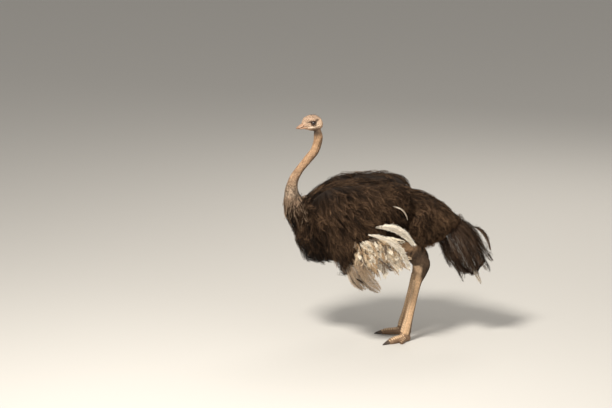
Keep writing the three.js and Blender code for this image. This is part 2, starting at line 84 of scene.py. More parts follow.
HEAD_CENTRE = np.array([-654.0, -32.0, 1543.0])  # midway between the eyes
HEAD_TURN = 22.0  # degrees to the bird's left
HEAD_DIP = 6.0  # degrees that the bill points down
EYE_PLACE = np.array([1.0, 31.0, 4.0])  # the left eye's centre in the head's own frame
EYE_RADIUS = 20.0

SKULL = stations(
    "x top low half",
    (-79, -8, -24, 4),
    (-73, 9, -46, 26),
    (-54, 34, -56, 39),
    (-22, 52, -61, 45),
    (10, 56, -58, 45),
    (34, 50, -48, 38),
    (56, 36, -40, 31),
    (69, 14, -34, 25),
)
UPPER_BILL = stations(
    "x top low half",
    (44, 15, -14, 25),
    (60, 8, -16, 27),
    (78, -1, -18, 26),
    (95, -8, -21, 22),
    (110, -14, -25, 14),
    (118, -20, -26, 4),
)
LOWER_BILL = stations(
    "x top low half",
    (28, -14, -38, 22),
    (52, -12, -37, 26),
    (72, -14, -34, 24),
    (91, -17, -32, 20),
    (106, -20, -29, 12),
    (113, -23, -27, 4),
)
NECK = stations(
    "x y z r",
    (-618, -22, 1506, 38),
    (-608, -16, 1435, 33),
    (-627, -12, 1352, 32),
    (-684, -8, 1274, 32),
    (-740, -4, 1202, 34),
    (-781, 0, 1128, 39),
    (-794, 0, 1056, 50),
    (-779, 0, 975, 76),
    (-722, 0, 890, 118),
    (-640, 0, 830, 130),
)
NECK_FLATNESS = 0.88  # its width for each millimetre of its depth
TRUNK = stations(
    "x back belly half wide",
    (-772, 842, 842, 0, 842),
    (-758, 930, 765, 62, 850),
    (-724, 1000, 634, 108, 835),
    (-656, 1064, 545, 152, 820),
    (-550, 1118, 548, 192, 810),
    (-420, 1138, 556, 228, 815),
    (-270, 1142, 560, 252, 830),
    (-120, 1118, 590, 262, 840),
    (10, 1084, 622, 252, 845),
    (120, 1056, 640, 232, 850),
    (215, 1014, 690, 200, 855),
    (300, 950, 752, 150, 850),
    (362, 882, 800, 84, 840),
    (385, 836, 836, 0, 836),
)
WING = stations(
    "x top foot out thick topIn footIn",
    (-668, 975, 930, 138, 8, 10, 0),
    (-640, 1048, 850, 164, 36, 20, 10),
    (-580, 1108, 716, 200, 56, 36, 20),
    (-500, 1148, 626, 230, 68, 44, 10),
    (-424, 1164, 512, 254, 74, 54, -10),
    (-366, 1164, 604, 264, 78, 60, -10),
    (-290, 1168, 700, 270, 80, 64, 0),
    (-170, 1168, 738, 268, 79, 64, 10),
    (-70, 1156, 786, 256, 72, 60, 10),
    (-4, 1120, 850, 232, 58, 50, 10),
    (32, 1020, 940, 200, 8, 20, 0),
)
TAIL_ROOT = np.array([290.0, 0.0, 850.0])
TAIL_HANG = 66.4  # degrees that the tail's axis points down
TAIL = stations(
    "far under over half",
    (-34, -14, 8, 20),
    (16, -70, 80, 84),
    (70, -112, 124, 112),
    (130, -136, 146, 128),
    (215, -132, 160, 134),
    (300, -112, 156, 124),
    (376, -84, 138, 98),
    (412, -26, 76, 40),
)
LEG = stations(
    "x z deep wide y",
    (-150, 930, 116, 76, 96),
    (-96, 836, 134, 88, 112),
    (-30, 738, 118, 82, 114),
    (40, 654, 86, 64, 106),
    (90, 594, 64, 48, 100),
    (112, 550, 62, 47, 97),
    (103, 492, 48, 39, 96),
    (82, 420, 32, 28, 96),
    (56, 300, 28, 26, 95),
    (30, 180, 29, 28, 95),
    (10, 92, 36, 34, 95),
    (2, 54, 38, 36, 95),
)
FOOT_APART = 190.0
FOOT_STEP = {-1: 0.0, 1: -13.0}  # how far each foot stands back of the measuring point
TOE_TURN = {-1: 36.0, 1: 4.0}  # degrees that each great toe points out
TOE_SPREAD = 34.0
GREAT_TOE = stations(
    "far half top under",
    (-38, 4, 22, 4),
    (-32, 22, 50, -5),
    (0, 33, 72, -8),
    (46, 28, 52, -8),
    (100, 28, 46, -8),
    (138, 23, 36, -6),
    (150, 10, 22, 4),
)
OUTER_TOE = stations(
    "far half top under",
    (-6, 10, 46, 6),
    (24, 19, 44, -6),
    (66, 17, 34, -7),
    (94, 14, 26, -5),
    (104, 5, 16, 4),
)
CLAW = stations(
    "far half top under",
    (122, 10, 32, 12),
    (142, 15, 31, 2),
    (170, 12, 22, -3),
    (192, 6, 11, -2),
    (202, 1.5, 4, 1),
)

# the last station of each table
SKULL_END, NECK_END, TRUNK_END, WING_END, TAIL_END, LEG_END = 7, 9, 13, 10, 7, 11

SIDES = {-1: "left", 1: "right"}


# ------------------------------------------------------------------ curves and frames
def along(table, field, t):
    """The value of one field at place t, counted in stations, on a smooth curve with no overshoot."""
    values = table[field]
    last = len(values) - 1
    t = np.clip(np.asarray(t, float), 0, last)
    i = np.minimum(t.astype(int), last - 1)
    f = t - i
    steps = np.diff(values)
    slopes = np.zeros(len(values))
    slopes[0] = steps[0]
    slopes[-1] = steps[-1]
    before, after = steps[:-1], steps[1:]
    smooth = before * after > 0
    inner = np.zeros(len(before))
    inner[smooth] = 2 * (before * after)[smooth] / (before + after)[smooth]
    slopes[1:-1] = inner
    return (
        values[i] * (2 * f**3 - 3 * f**2 + 1)
        + slopes[i] * (f**3 - 2 * f**2 + f)
        + values[i + 1] * (3 * f**2 - 2 * f**3)
        + slopes[i + 1] * (f**3 - f**2)
    )


def unit(v):
    return v / np.maximum(np.linalg.norm(v, axis=-1, keepdims=True), 1e-9)


def smooth_step(value, low, high):
    f = np.clip((value - low) / (high - low), 0, 1)
    return f * f * (3 - 2 * f)


def bell(value):
    return np.exp(-(value**2))


def stack(x, y, z):
    return np.stack(np.broadcast_arrays(x, y, z), axis=-1)


HEAD_AXES = np.array(
    Matrix.Rotation(math.radians(180 + HEAD_TURN), 3, "Z")
    @ Matrix.Rotation(math.radians(HEAD_DIP), 3, "Y")
)


def from_head(points):
    """Points of the head's frame (bill along +X, left side along +Y) in the measuring frame."""
    return points @ HEAD_AXES.T + HEAD_CENTRE


def into_head(points):
    return (points - HEAD_CENTRE) @ HEAD_AXES


_low, _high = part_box("eye_left")
SHIFT = np.array((_low + _high) / 2) / MM - from_head(EYE_PLACE)


def to_frame(points):
    return (np.asarray(points, float) + SHIFT) * MM


def ripple(points, size, seed):
    """Smooth noise from -1 to 1 made of sine waves with random directions; size is in millimetres."""
    rng = np.random.default_rng(seed)
    total = np.zeros(len(points))
    weight = 0
    for octave in range(3):
        for _ in range(4):
            wave = unit(rng.normal(size=3)) * TURN / size * 2**octave
            total += np.sin(points @ wave + rng.uniform(0, TURN)) / 2**octave
        weight += 2.2 / 2**octave
    return np.clip(total / weight, -1, 1)


# ------------------------------------------------------------------ surfaces of the body
# Each takes a place t down the part, an angle a round it, and how far to stay inside the outer form.
def trunk_surface(t, a, inset):
    half = along(TRUNK, "half", t)
    wide = along(TRUNK, "wide", t)
    up, side = np.sin(a), np.cos(a)
    reach = np.where(up > 0, along(TRUNK, "back", t) - wide, wide - along(TRUNK, "belly", t))
    fold = 7 * np.minimum(1, half / 150) * np.sin(4 * a + 2.4 * t) * np.abs(side)
    return stack(
        along(TRUNK, "x", t),
        np.maximum(half + fold - inset, 0) * np.sign(side) * np.abs(side) ** 0.86,
        wide + np.maximum(reach - inset, 0) * np.sign(up) * np.abs(up) ** 0.94,
    )


def neck_line(t):
    return stack(along(NECK, "x", t), along(NECK, "y", t), along(NECK, "z", t))


def neck_surface(t, a, inset):
    nudge = 0.01
    ahead = unit(neck_line(np.minimum(t + nudge, NECK_END)) - neck_line(np.maximum(t - nudge, 0)))
    sideways = np.array([0.0, 1.0, 0.0])
    across = unit(sideways - ahead * (ahead @ sideways)[..., None])
    through = np.cross(ahead, across)
    radius = np.maximum(along(NECK, "r", t) - inset, 1)[..., None]
    a = np.asarray(a)[..., None]
    return neck_line(t) + across * radius * NECK_FLATNESS * np.cos(a) + through * radius * np.sin(a)


def wing_surface(side):
    def surface(t, a, inset):
        thick = np.maximum(along(WING, "thick", t) - inset, 1)
        top, foot = along(WING, "top", t), along(WING, "foot", t)
        high = np.maximum((top - foot) / 2 - inset, 1)
        up = np.sin(a)
        lean = np.where(up > 0, along(WING, "topIn", t), along(WING, "footIn", t))
        out = along(WING, "out", t) - lean * up * up + thick * np.cos(a)
        return stack(along(WING, "x", t), side * out, (top + foot) / 2 + high * up)

    return surface


def tail_surface(t, a, inset):
    hang = math.radians(TAIL_HANG)
    ahead = np.array([math.cos(hang), 0, -math.sin(hang)])
    above = np.array([math.sin(hang), 0, math.cos(hang)])
    over, under = along(TAIL, "over", t), along(TAIL, "under", t)
    high = np.maximum((over - under) / 2 - inset, 1)
    half = np.maximum(along(TAIL, "half", t) - inset, 1)
    return (
        TAIL_ROOT
        + ahead * along(TAIL, "far", t)[..., None]
        + above * ((over + under) / 2 + high * np.sin(a))[..., None]
        + np.array([0.0, 1.0, 0.0]) * (half * np.cos(a))[..., None]
    )


def leg_surface(side):
    def surface(t, a, inset):
        nudge = 0.02
        low, high = np.maximum(t - nudge, 0), np.minimum(t + nudge, 11)
        dx = along(LEG, "x", high) - along(LEG, "x", low)
        dz = along(LEG, "z", high) - along(LEG, "z", low)
        length = np.hypot(dx, dz)
        z = along(LEG, "z", t)
        move = FOOT_STEP[side] * smooth_step(700 - z, 0, 650)
        deep = np.maximum(along(LEG, "deep", t) - inset, 1) * np.cos(a)
        wide = np.maximum(along(LEG, "wide", t) - inset, 1) * np.sin(a)
        return stack(
            along(LEG, "x", t) + move + deep * dz / length,
            side * along(LEG, "y", t) + wide,
            z - deep * dx / length,
        )

    return surface


def toe_surface(side, table, turned):
    joint = np.array([2 + FOOT_STEP[side], side * FOOT_APART / 2, 0.0])
    heading = math.radians(TOE_TURN[side] + turned)
    ahead = np.array([-math.cos(heading), side * math.sin(heading), 0])
    across = np.array([-ahead[1], ahead[0], 0])

    def surface(t, a, inset):
        top, under = along(table, "top", t), along(table, "under", t)
        high = np.maximum((top - under) / 2 - inset, 0.5)
        half = np.maximum(along(table, "half", t) - inset, 0.5)
        return (
            joint
            + ahead * along(table, "far", t)[..., None]
            + across * (half * np.cos(a))[..., None]
            + np.array([0, 0, 1.0]) * ((top + under) / 2 + high * np.sin(a))[..., None]
        )

    return surface


def head_loft(table, roundness):
    def surface(t, a, inset):
        top, low = along(table, "top", t), along(table, "low", t)
        high = np.maximum((top - low) / 2 - inset, 0.5)
        half = np.maximum(along(table, "half", t) - inset, 0.5)
        side, up = np.cos(a), np.sin(a)
        return from_head(
            stack(
                along(table, "x", t),
                half * np.sign(side) * np.abs(side) ** roundness,
                (top + low) / 2 + high * np.sign(up) * np.abs(up) ** roundness,
            )
        )

    return surface


skull_surface = head_loft(SKULL, 0.95)


# ------------------------------------------------------------------ meshes
def add_object(name, data):
    made = bpy.data.objects.new(name, data)
    bpy.context.scene.collection.objects.link(made)
    return made


def as_modified(piece):
    """A plain mesh of what the piece's modifiers make of it."""
    return bpy.data.meshes.new_from_object(
        piece.evaluated_get(bpy.context.evaluated_depsgraph_get())
    )


def new_mesh(name, points, corners, sizes, checked=True):
    """A mesh object from arrays: points in the measuring frame, face corners one after another."""
    mesh = bpy.data.meshes.new(name)
    mesh.vertices.add(len(points))
    mesh.vertices.foreach_set("co", to_frame(points).astype(np.float32).ravel())
    mesh.loops.add(len(corners))
    mesh.loops.foreach_set("vertex_index", np.asarray(corners, np.int32))
    mesh.polygons.add(len(sizes))
    starts = np.concatenate([[0], np.cumsum(sizes)[:-1]])
    mesh.polygons.foreach_set("loop_start", starts.astype(np.int32))
    mesh.polygons.foreach_set("use_smooth", np.ones(len(sizes), bool))
    mesh.update(calc_edges=True)
    if checked:
        mesh.validate()
    return add_object(name, mesh)


def end_caps(sides, pole, last_ring):
    """Fans that close the ring at 0 and the last ring, from the point called pole and the one after it."""
    s = np.arange(sides)
    following = (s + 1) % sides
    near = np.stack([np.full(sides, pole), following, s], -1)
    far = np.stack([np.full(sides, pole + 1), last_ring + s, last_ring + following], -1)
    return np.concatenate([near, far])


def loft_arrays(surface, last, inset, steps, sides, rounded=False):
    """Points and faces of a closed surface from t = 0 to t = last."""
    f = np.linspace(0, 1, steps + 1)
    if rounded:
        f = (1 - np.cos(math.pi * f)) / 2
    t, a = np.meshgrid(f * last, np.arange(sides) * TURN / sides, indexing="ij")
    rings = surface(t, a, inset(t) if callable(inset) else inset)
    points = np.concatenate([rings.reshape(-1, 3), rings[0].mean(0)[None], rings[-1].mean(0)[None]])
    ring, s = np.meshgrid(np.arange(steps), np.arange(sides), indexing="ij")
    here = ring * sides + s
    following = ring * sides + (s + 1) % sides
    quads = np.stack([here, following, following + sides, here + sides], -1).reshape(-1, 4)
    caps = end_caps(sides, (steps + 1) * sides, steps * sides)
    if signed_volume(points, quads) < 0:
        quads, caps = quads[:, ::-1], caps[:, ::-1]
    return points, quads, caps


def signed_volume(points, quads):
    p = points - points.mean(0)
    a, b, c, d = (p[quads[:, i]] for i in range(4))
    return (np.cross(a, b) * c).sum() + (np.cross(a, c) * d).sum()


def joined_lofts(name, lofts):
    points, corners, sizes, offset = [], [], [], 0
    for loft_points, quads, caps in lofts:
        points.append(loft_points)
        corners += [(quads + offset).ravel(), (caps + offset).ravel()]
        sizes += [np.full(len(quads), 4), np.full(len(caps), 3)]
        offset += len(loft_points)
    return new_mesh(name, np.concatenate(points), np.concatenate(corners), np.concatenate(sizes))


def read_points(mesh):
    co = np.zeros(len(mesh.vertices) * 3, np.float32)
    mesh.vertices.foreach_get("co", co)
    return co.reshape(-1, 3).astype(float) / MM - SHIFT


def write_points(mesh, points):
    mesh.vertices.foreach_set("co", to_frame(points).astype(np.float32).ravel())
    mesh.update()


def give(mesh, name, kind, values):
    """Stores an array as a named attribute of the mesh."""
    field = {"FLOAT": "value", "FLOAT_VECTOR": "vector", "FLOAT2": "vector", "FLOAT_COLOR": "color"}
    attribute = mesh.attributes.new(name, kind, "POINT")
    attribute.data.foreach_set(field[kind], np.asarray(values, np.float32).ravel())


def give_tone(mesh, tone):
    """Stores the colour of each point, which the materials read."""
    give(mesh, "tone", "FLOAT_COLOR", np.concatenate([tone, np.ones((len(tone), 1))], 1))


def linear(colour):
    """Red, green and blue from 0 to 255 as Blender's linear values."""
    c = np.asarray(colour, float) / 255
    return np.where(c <= 0.04045, c / 12.92, ((c + 0.055) / 1.055) ** 2.4)


def even_tone(colour, shape):
    return np.broadcast_to(linear(colour), shape)


def finish(piece, material, replaces=()):
    """Gives the piece its material, unless it brings its own, and says what it is to the frame."""
    if material is not None:
        dress(piece, material)
    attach(piece, "root")
    if replaces:
        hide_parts(*replaces)


def settings():
    return bpy.context.scene.ostrich_body, bpy.context.scene.ostrich_colours


# ------------------------------------------------------------------ materials
def new_material(name, roughness):
    """A material with its nodes, and the Principled shader in it."""
    material = bpy.data.materials.new(name)
    material.use_nodes = True
    shader = material.node_tree.nodes["Principled BSDF"]
    shader.inputs["Roughness"].default_value = roughness
    return material, material.node_tree, shader


def add_node(tree, kind, values=None, **settings_of_node):
    """Adds a node, sets its options and the values of its inputs, and links inputs given as sockets."""
    made = tree.nodes.new(kind)
    for option, value in settings_of_node.items():
        setattr(made, option, value)
    for name, value in (values or {}).items():
        if isinstance(value, bpy.types.NodeSocket):
            tree.links.new(value, made.inputs[name])
        else:
            made.inputs[name].default_value = value
    return made


def texture(tree, kind, values, stretch=(1, 1, 1), **options):
    """A texture over the piece's own coordinates, in metres."""
    place = add_node(tree, "ShaderNodeTexCoord").outputs["Object"]
    mapped = add_node(tree, "ShaderNodeMapping", {"Vector": place, "Scale": stretch})
    return add_node(tree, kind, {"Vector": mapped.outputs["Vector"], **values}, **options)


def noise_value(tree, scale, detail=4.0, roughness=0.55, stretch=(1, 1, 1)):
    values = {"Scale": scale, "Detail": detail, "Roughness": roughness}
    return texture(tree, "ShaderNodeTexNoise", values, stretch).outputs["Fac"]


def tinted(tree, shader, dark, light, factor):
    """Base colour: the piece's own tone, from dark to light times its value as the factor goes up."""
    tone = add_node(tree, "ShaderNodeAttribute", attribute_name="tone")
    span = add_node(
        tree,
        "ShaderNodeMapRange",
        {"Value": factor, "From Min": 0.25, "From Max": 0.75, "To Min": dark, "To Max": light},
    )
    scaled = add_node(
        tree,
        "ShaderNodeVectorMath",
        {0: tone.outputs["Color"], "Scale": span.outputs["Result"]},
        operation="SCALE",
    )
    tree.links.new(scaled.outputs["Vector"], shader.inputs["Base Color"])


def add_bump(tree, shader, height, distance, strength=1.0, under=None):
    values = {"Height": height, "Distance": distance, "Strength": strength}
    if under is not None:
        values["Normal"] = under
    bump = add_node(tree, "ShaderNodeBump", values)
    tree.links.new(bump.outputs["Normal"], shader.inputs["Normal"])
    return bump.outputs["Normal"]


def cells_value(tree, scale):
    cells = texture(tree, "ShaderNodeTexVoronoi", {"Scale": scale}, feature="SMOOTH_F1")
    return cells.outputs["Distance"]


def skin_material():
    material, tree, shader = new_material("Bare skin", 0.72)
    tinted(tree, shader, 0.74, 1.2, noise_value(tree, 60.0, 8.0, 0.68))
    folds = add_bump(tree, shader, noise_value(tree, 90.0, 5.0, 0.6, (1, 1, 2.4)), 0.0016, 0.7)
    add_bump(tree, shader, cells_value(tree, 520.0), 0.0007, 0.75, folds)
    shader.inputs["Specular IOR Level"].default_value = 0.2
    return material


def plumage_material(name, roughness, sheen, tint=(0.6, 1.4)):
    material, tree, shader = new_material(name, roughness)
    tinted(tree, shader, *tint, noise_value(tree, 34.0, 5.0, 0.6))
    shader.inputs["Sheen Weight"].default_value = sheen
    shader.inputs["Sheen Roughness"].default_value = 0.5
    shader.inputs["Specular IOR Level"].default_value = 0.07
    return material


def horn_material(name, roughness, scale, stretch):
    material, tree, shader = new_material(name, roughness)
    tinted(tree, shader, 0.8, 1.16, noise_value(tree, scale, 5.0, 0.6, stretch))
    grain = add_bump(tree, shader, noise_value(tree, scale * 3, 4.0, 0.6, stretch), 0.0007, 0.6)
    add_bump(tree, shader, noise_value(tree, scale * 9, 3.0), 0.0003, 0.5, grain)
    shader.inputs["Coat Weight"].default_value = 0.12
    shader.inputs["Coat Roughness"].default_value = 0.3
    return material


def eye_material():
    material, tree, shader = new_material("Wet eye", 0.08)
    tinted(tree, shader, 0.7, 1.3, noise_value(tree, 900.0, 4.0))
    shader.inputs["Coat Weight"].default_value = 0.5
    shader.inputs["Coat Roughness"].default_value = 0.02
    shader.inputs["Specular IOR Level"].default_value = 0.5
    return material


def dress(piece, material):
    piece.data.materials.clear()
    piece.data.materials.append(material)


# ------------------------------------------------------------------ the skin's form
COAT_DEPTH = 38.0  # how far the skin lies under the solids of the trunk
COVERT_DEPTH = 34  # and under those of the wings
SWELL = 3.0  # the head is remeshed at this many times its size, for its finer detail
SWELL_REACH = 108.0  # how far from the head's centre that holds
SWELL_END = 740.0  # where the rest of the body is back in its own place
VOXEL = 5.6  # millimetres
SKIN_TRIANGLES = 180000
NAPE = np.array([-620.0, -22.0, 1497.0])  # where the neck runs into the head


def neck_depth(t):
    nape = 13 * (1 - smooth_step(t, 0, 0.9))
    return nape + 2 + 4 * smooth_step(t, 2.6, 4.0) + 29 * smooth_step(t, 5.8, 8.4)


def leg_depth(t):
    return 1.5 + 0 * t


def wing_flesh(side):
    """The arm and hand of the wing, carried inwards to the flank so that it joins the body."""
    outer = wing_surface(side)

    def surface(t, a, inset):
        points = outer(t, a, inset)
        inwards = np.clip(-np.cos(a), 0, 1) * 46
        points[..., 1] -= side * inwards
        return points

    return surface


def swollen(points, back=False):
    away = points - HEAD_CENTRE
    far = np.maximum(np.linalg.norm(away, axis=-1, keepdims=True), 1e-6)
    places, grown_places = [0, SWELL_REACH, SWELL_END, 9999], [0, SWELL * SWELL_REACH, SWELL_END, 9999]
    if back:
        places, grown_places = grown_places, places
    return HEAD_CENTRE + away * (np.interp(far, places, grown_places) / far)


# Each chart of the skin: its name, surface, last station, the depth of its coat, and its rings and sides.
def skin_charts():
    charts = [
        ("head", skull_surface, SKULL_END, 1.5, 40, 48),
        ("neck", neck_surface, NECK_END, neck_depth, 90, 40),
        ("trunk", trunk_surface, TRUNK_END, COAT_DEPTH, 80, 64),
    ]
    for side, name in SIDES.items():
        charts += [
            ("wing_" + name, wing_flesh(side), WING_END, COVERT_DEPTH, 60, 48),
            ("leg_" + name, leg_surface(side), LEG_END, leg_depth, 80, 32),
            ("great_toe_" + name, toe_surface(side, GREAT_TOE, 0), 6, 1.2, 30, 24),
            ("outer_toe_" + name, toe_surface(side, OUTER_TOE, TOE_SPREAD), 4, 1.2, 24, 20),
        ]
    return charts


def point_tree(points):
    tree = kdtree.KDTree(len(points))
    for i, p in enumerate(points):
        tree.insert(p, i)
    tree.balance()
    return tree


def nearest_rows(tree, points):
    return np.array([tree.find(p)[1] for p in points])


def edge_smooth(mesh, points, rounds, keep=None):
    """Moves each point part of the way to the middle of its neighbours, several times."""
    edges = np.zeros(len(mesh.edges) * 2, np.int32)
    mesh.edges.foreach_get("vertices", edges)
    a, b = edges.reshape(-1, 2).T
    count = np.bincount(a, minlength=len(points)) + np.bincount(b, minlength=len(points))
    share = 0.5 if keep is None else 0.5 * (1 - keep)[:, None]
    for _ in range(rounds):
        total = np.stack(
            [
                np.bincount(a, points[b, i], len(points)) + np.bincount(b, points[a, i], len(points))
                for i in range(3)
            ],
            -1,
        )
        points = points + (total / np.maximum(count, 1)[:, None] - points) * share
    return points


def plain_copy(piece):
    """Replaces the piece's mesh by what its modifiers make of it."""
    made = as_modified(piece)
    piece.modifiers.clear()
    old, piece.data = piece.data, made
    bpy.data.meshes.remove(old)
    made.name = piece.name


def voxel_skin(piece):
    """Joins the charts into one closed skin: remesh at a larger head, thin out what the coat hides."""
    write_points(piece.data, swollen(read_points(piece.data)))
    remesh = piece.modifiers.new("Join", "REMESH")
    remesh.mode = "VOXEL"
    remesh.voxel_size = VOXEL * MM
    plain_copy(piece)
    points = swollen(edge_smooth(piece.data, read_points(piece.data), 4), back=True)
    write_points(piece.data, points)
    hidden = smooth_step(points[:, 0], -790, -640) * smooth_step(points[:, 2], 640, 760)
    hidden *= 1 - smooth_step(points[:, 2], 1180, 1230)
    group = piece.vertex_groups.new(name="hidden")
    for level in (0.25, 0.5, 0.75, 1.0):
        chosen = np.nonzero(np.round(hidden * 4) / 4 == level)[0]
        group.add(chosen.tolist(), level, "REPLACE")
    thin = piece.modifiers.new("Thin", "DECIMATE")
    thin.ratio = SKIN_TRIANGLES / max(SKIN_TRIANGLES, 2 * len(piece.data.polygons))
    thin.vertex_group = group.name
    thin.vertex_group_factor = 6.0
    plain_copy(piece)
    piece.vertex_groups.clear()
    points = read_points(piece.data)
    # the throat and nape run into the neck without a step
    q = into_head(points)
    joint = np.linalg.norm(points - NAPE, axis=-1)
    keep = smooth_step(joint, 44, 74)
    keep = np.maximum(keep, smooth_step(q[:, 0], 4, 22))
    keep = np.maximum(keep, smooth_step(q[:, 2], -6, 14))
    return edge_smooth(piece.data, points, 70, keep=keep)


# ------------------------------------------------------------------ the head's modelling
LID_OPENING = (0.80, 0.63)  # half the opening along the head and up it, in radians at the eyeball's centre
LID_GAZE = (0.14, 1.0, 0.04)  # where the middle of the opening looks, in the head's frame, left side
LID_HEIGHT = 1.6  # how far a lid stands off the eyeball
EAR_PLACE = np.array([-36.0, 41.0, -15.0])


def eye_frame(side):
    """The eyeball's centre with axes out of it, along the head and up, in the head's frame."""
    mirror = np.array([1.0, -side, 1.0])
    outwards = unit(np.array(LID_GAZE) * mirror)
    upwards = unit(np.array([0, 0, 1.0]) - outwards * outwards[2])
    forwards = np.cross(upwards, outwards) * -side
    forwards *= np.sign(forwards[0])
    return EYE_PLACE * mirror, outwards, forwards, upwards


def eye_direction(side, off, psi):
    """The way out of the eyeball's centre at an angle off the gaze, towards psi."""
    _, outwards_axis, forwards, upwards = eye_frame(side)
    return (
        outwards_axis * np.cos(off)[..., None]
        + forwards * (np.sin(off) * np.cos(psi))[..., None]
        + upwards * (np.sin(off) * np.sin(psi))[..., None]
    )


def opening_radius(psi):
    """The lid opening's half angle towards psi: 0 ahead, a quarter turn up. It is an almond."""
    along_head, up_head = LID_OPENING
    round_part = 1 / np.sqrt((np.cos(psi) / along_head) ** 2 + (np.sin(psi) / up_head) ** 2)
    return round_part * (1 + 0.07 * np.cos(2 * psi) - 0.03 * np.sin(psi))


def eye_angles(q, side):
    """Distance from the eyeball's centre, angle off the gaze as a share of the opening, and direction."""
    centre, outwards, forwards, upwards = eye_frame(side)
    away = q - centre
    far = np.linalg.norm(away, axis=-1)
    off = np.arccos(np.clip((away @ outwards) / np.maximum(far, 1e-6), -1, 1))
    psi = np.arctan2(away @ upwards, away @ forwards)
    return far, off / opening_radius(psi), unit(away)


def gape_line(q):
    """The height of the mouth's line beside each point of the head, and how much of it there is."""
    lip = -14.5 - 2.5 * smooth_step(q[:, 0], -14, 6) - 6 * smooth_step(-q[:, 0], -12, 8)
    return lip, smooth_step(q[:, 0], -6, 10)


def head_detail(q):
    """The head's skin with its orbits, brows, ears, gape and folds, from the plain skull in its own frame."""
    for side in (-1, 1):
        far, share, away = eye_angles(q, side)
        near = far < 62
        flush = EYE_RADIUS + LID_HEIGHT - 1.5
        weight = (1 - smooth_step(share, 1.7, 2.35)) * near
        target = np.where(share < 1.12, EYE_RADIUS - 3.0, flush)
        q = q + away * ((target - far) * weight)[:, None]
        mirror = np.array([1.0, -side, 1.0])
        out = np.array([0, -side, 0.0])

        def bump(place, radii, height, direction):
            d = ((q - np.array(place) * mirror) / np.array(radii)) ** 2
            return (height * np.exp(-d.sum(-1)))[:, None] * unit(np.array(direction) * mirror)

        q = q + bump((3, 33, 27), (24, 14, 7), 3.4, (0, 0.7, 1))  # the brow over the eye
        q = q - bump((2, 38, -24), (20, 12, 6), 2.2, (0, 1, -0.2))  # the hollow under the eye
        q = q - bump((-27, 41, 6), (8, 12, 12), 2.2, (0, 1, 0))  # the crease behind it
        q = q + bump((-44, 34, 14), (16, 12, 14), 2.0, (-0.3, 1, 0))  # the fullness of the temple
        q = q - bump((42, 30, 0), (14, 10, 10), 3.0, (0.2, 1, 0.1))  # the hollow before the eye
        q = q + bump((46, 14, 38), (16, 22, 13), 2.6, (0.8, 0.2, 0.6))  # the forehead
        ear = np.linalg.norm((q - EAR_PLACE * mirror) * np.array([1.15, 0.8, 0.9]), axis=-1)
        q = q + out * (1.8 * bell((ear - 10.5) / 3.2))[:, None]
        q = q - out * (7.0 * np.exp(-((ear / 6.4) ** 4)))[:, None]
        # the gape runs back from the bill under the eye
        lip, reach = gape_line(q)
        beside = smooth_step(-side * q[:, 1], 12, 20) * reach
        deep = 2.8 * bell((q[:, 2] - lip) / 1.9)
        above = 1.3 * bell((q[:, 2] - lip - 4.2) / 2.6)
        q = q + out * ((above - deep) * beside)[:, None]
    # folds of the throat
    throat = smooth_step(-q[:, 2], 26, 42) * smooth_step(30 - q[:, 0], 0, 30)
    q[:, 2] += throat * 1.0 * np.sin(q[:, 1] * 0.55 + 1.4 * np.sin(q[:, 0] * 0.08))
    return q


# ------------------------------------------------------------------ tones of the skin
def mixed(first, second, share):
    return first + (second - first) * np.asarray(share)[..., None]


# Each dark streak beside the eye: its ends along the head and up, its half width and its strength.
DUSKY_STREAKS = [
    ((10, 17), (46, 2), 6.0, 1.0),
    ((-14, 8), (-34, 19), 6.5, 1.0),
    ((-14, -2), (-26, 2), 5.5, 0.9),
    ((20, -11), (-14, -12), 2.6, 0.7),
]


def from_segment(points, start, stop):
    """How far each point lies from the straight line between two places."""
    way = stop - start
    share = np.clip((points - start) @ way / (way @ way), 0, 1)
    return np.linalg.norm(points - start - share[:, None] * way, axis=-1)


def head_tone(q):
    """Colours of the head's skin in its own frame: paler ear, dusky streaks ahead of and behind the eye,
    painted shade in the ear openings and along the gape.
    """
    tone = even_tone((184, 157, 134), q.shape).copy()
    crown = smooth_step(q[:, 2], 24, 46)
    tone = mixed(tone, linear((150, 126, 108)), 0.7 * crown)
    specks = smooth_step(ripple(q, 12, 31), 0.0, 0.5) * smooth_step(q[:, 2], -8, 12)
    tone = mixed(tone, linear((112, 86, 70)), 0.6 * specks)
    throat = smooth_step(-q[:, 2], 20, 44)
    tone = mixed(tone, linear((186, 150, 122)), 0.6 * throat)
    for side in (-1, 1):
        share = eye_angles(q, side)[1]
        beside = smooth_step(-side * q[:, 1], 6, 22)
        ring = bell((share - 1.05) / 0.45) * beside
        tone = mixed(tone, linear((46, 34, 28)), 0.9 * ring)
        for start, stop, wide, strength in DUSKY_STREAKS:
            off = from_segment(q[:, [0, 2]], np.array(start), np.array(stop))
            streak = bell(off / wide)
            tone = mixed(tone, linear((48, 36, 29)), strength * streak * beside)
        ear = np.linalg.norm(q - EAR_PLACE * np.array([1, -side, 1]), axis=-1)
        tone = mixed(tone, linear((234, 210, 182)), 0.7 * bell(ear / 20))
        cheek = ((q - np.array([12, -side * 34, -28])) / [24, 20, 7.5]) ** 2
        tone = mixed(tone, linear((244, 224, 202)), 0.9 * np.exp(-cheek.sum(-1)))
        # painted shade in the ear opening
        tone = mixed(tone, linear((70, 46, 38)), 0.85 * np.exp(-((ear / 5.4) ** 4)))
        # painted shade along the groove of the gape
        lip, reach = gape_line(q)
        line = bell((q[:, 2] - lip) / 2.0) * reach * beside
        tone = mixed(tone, linear((84, 56, 46)), 0.8 * line)
    return tone


def neck_shades(points, t):
    """How far down the neck each point has turned grey and black; the nape turns first."""
    ahead = np.clip((along(NECK, "x", t) - points[:, 0]) / along(NECK, "r", t), -1, 1)
    uneven = 0.35 * ripple(points, 55, 13)
    grey = smooth_step(t + uneven, 4.5, 6.0)
    return grey, smooth_step(t + uneven - 0.75 * ahead, 5.6, 7.5)


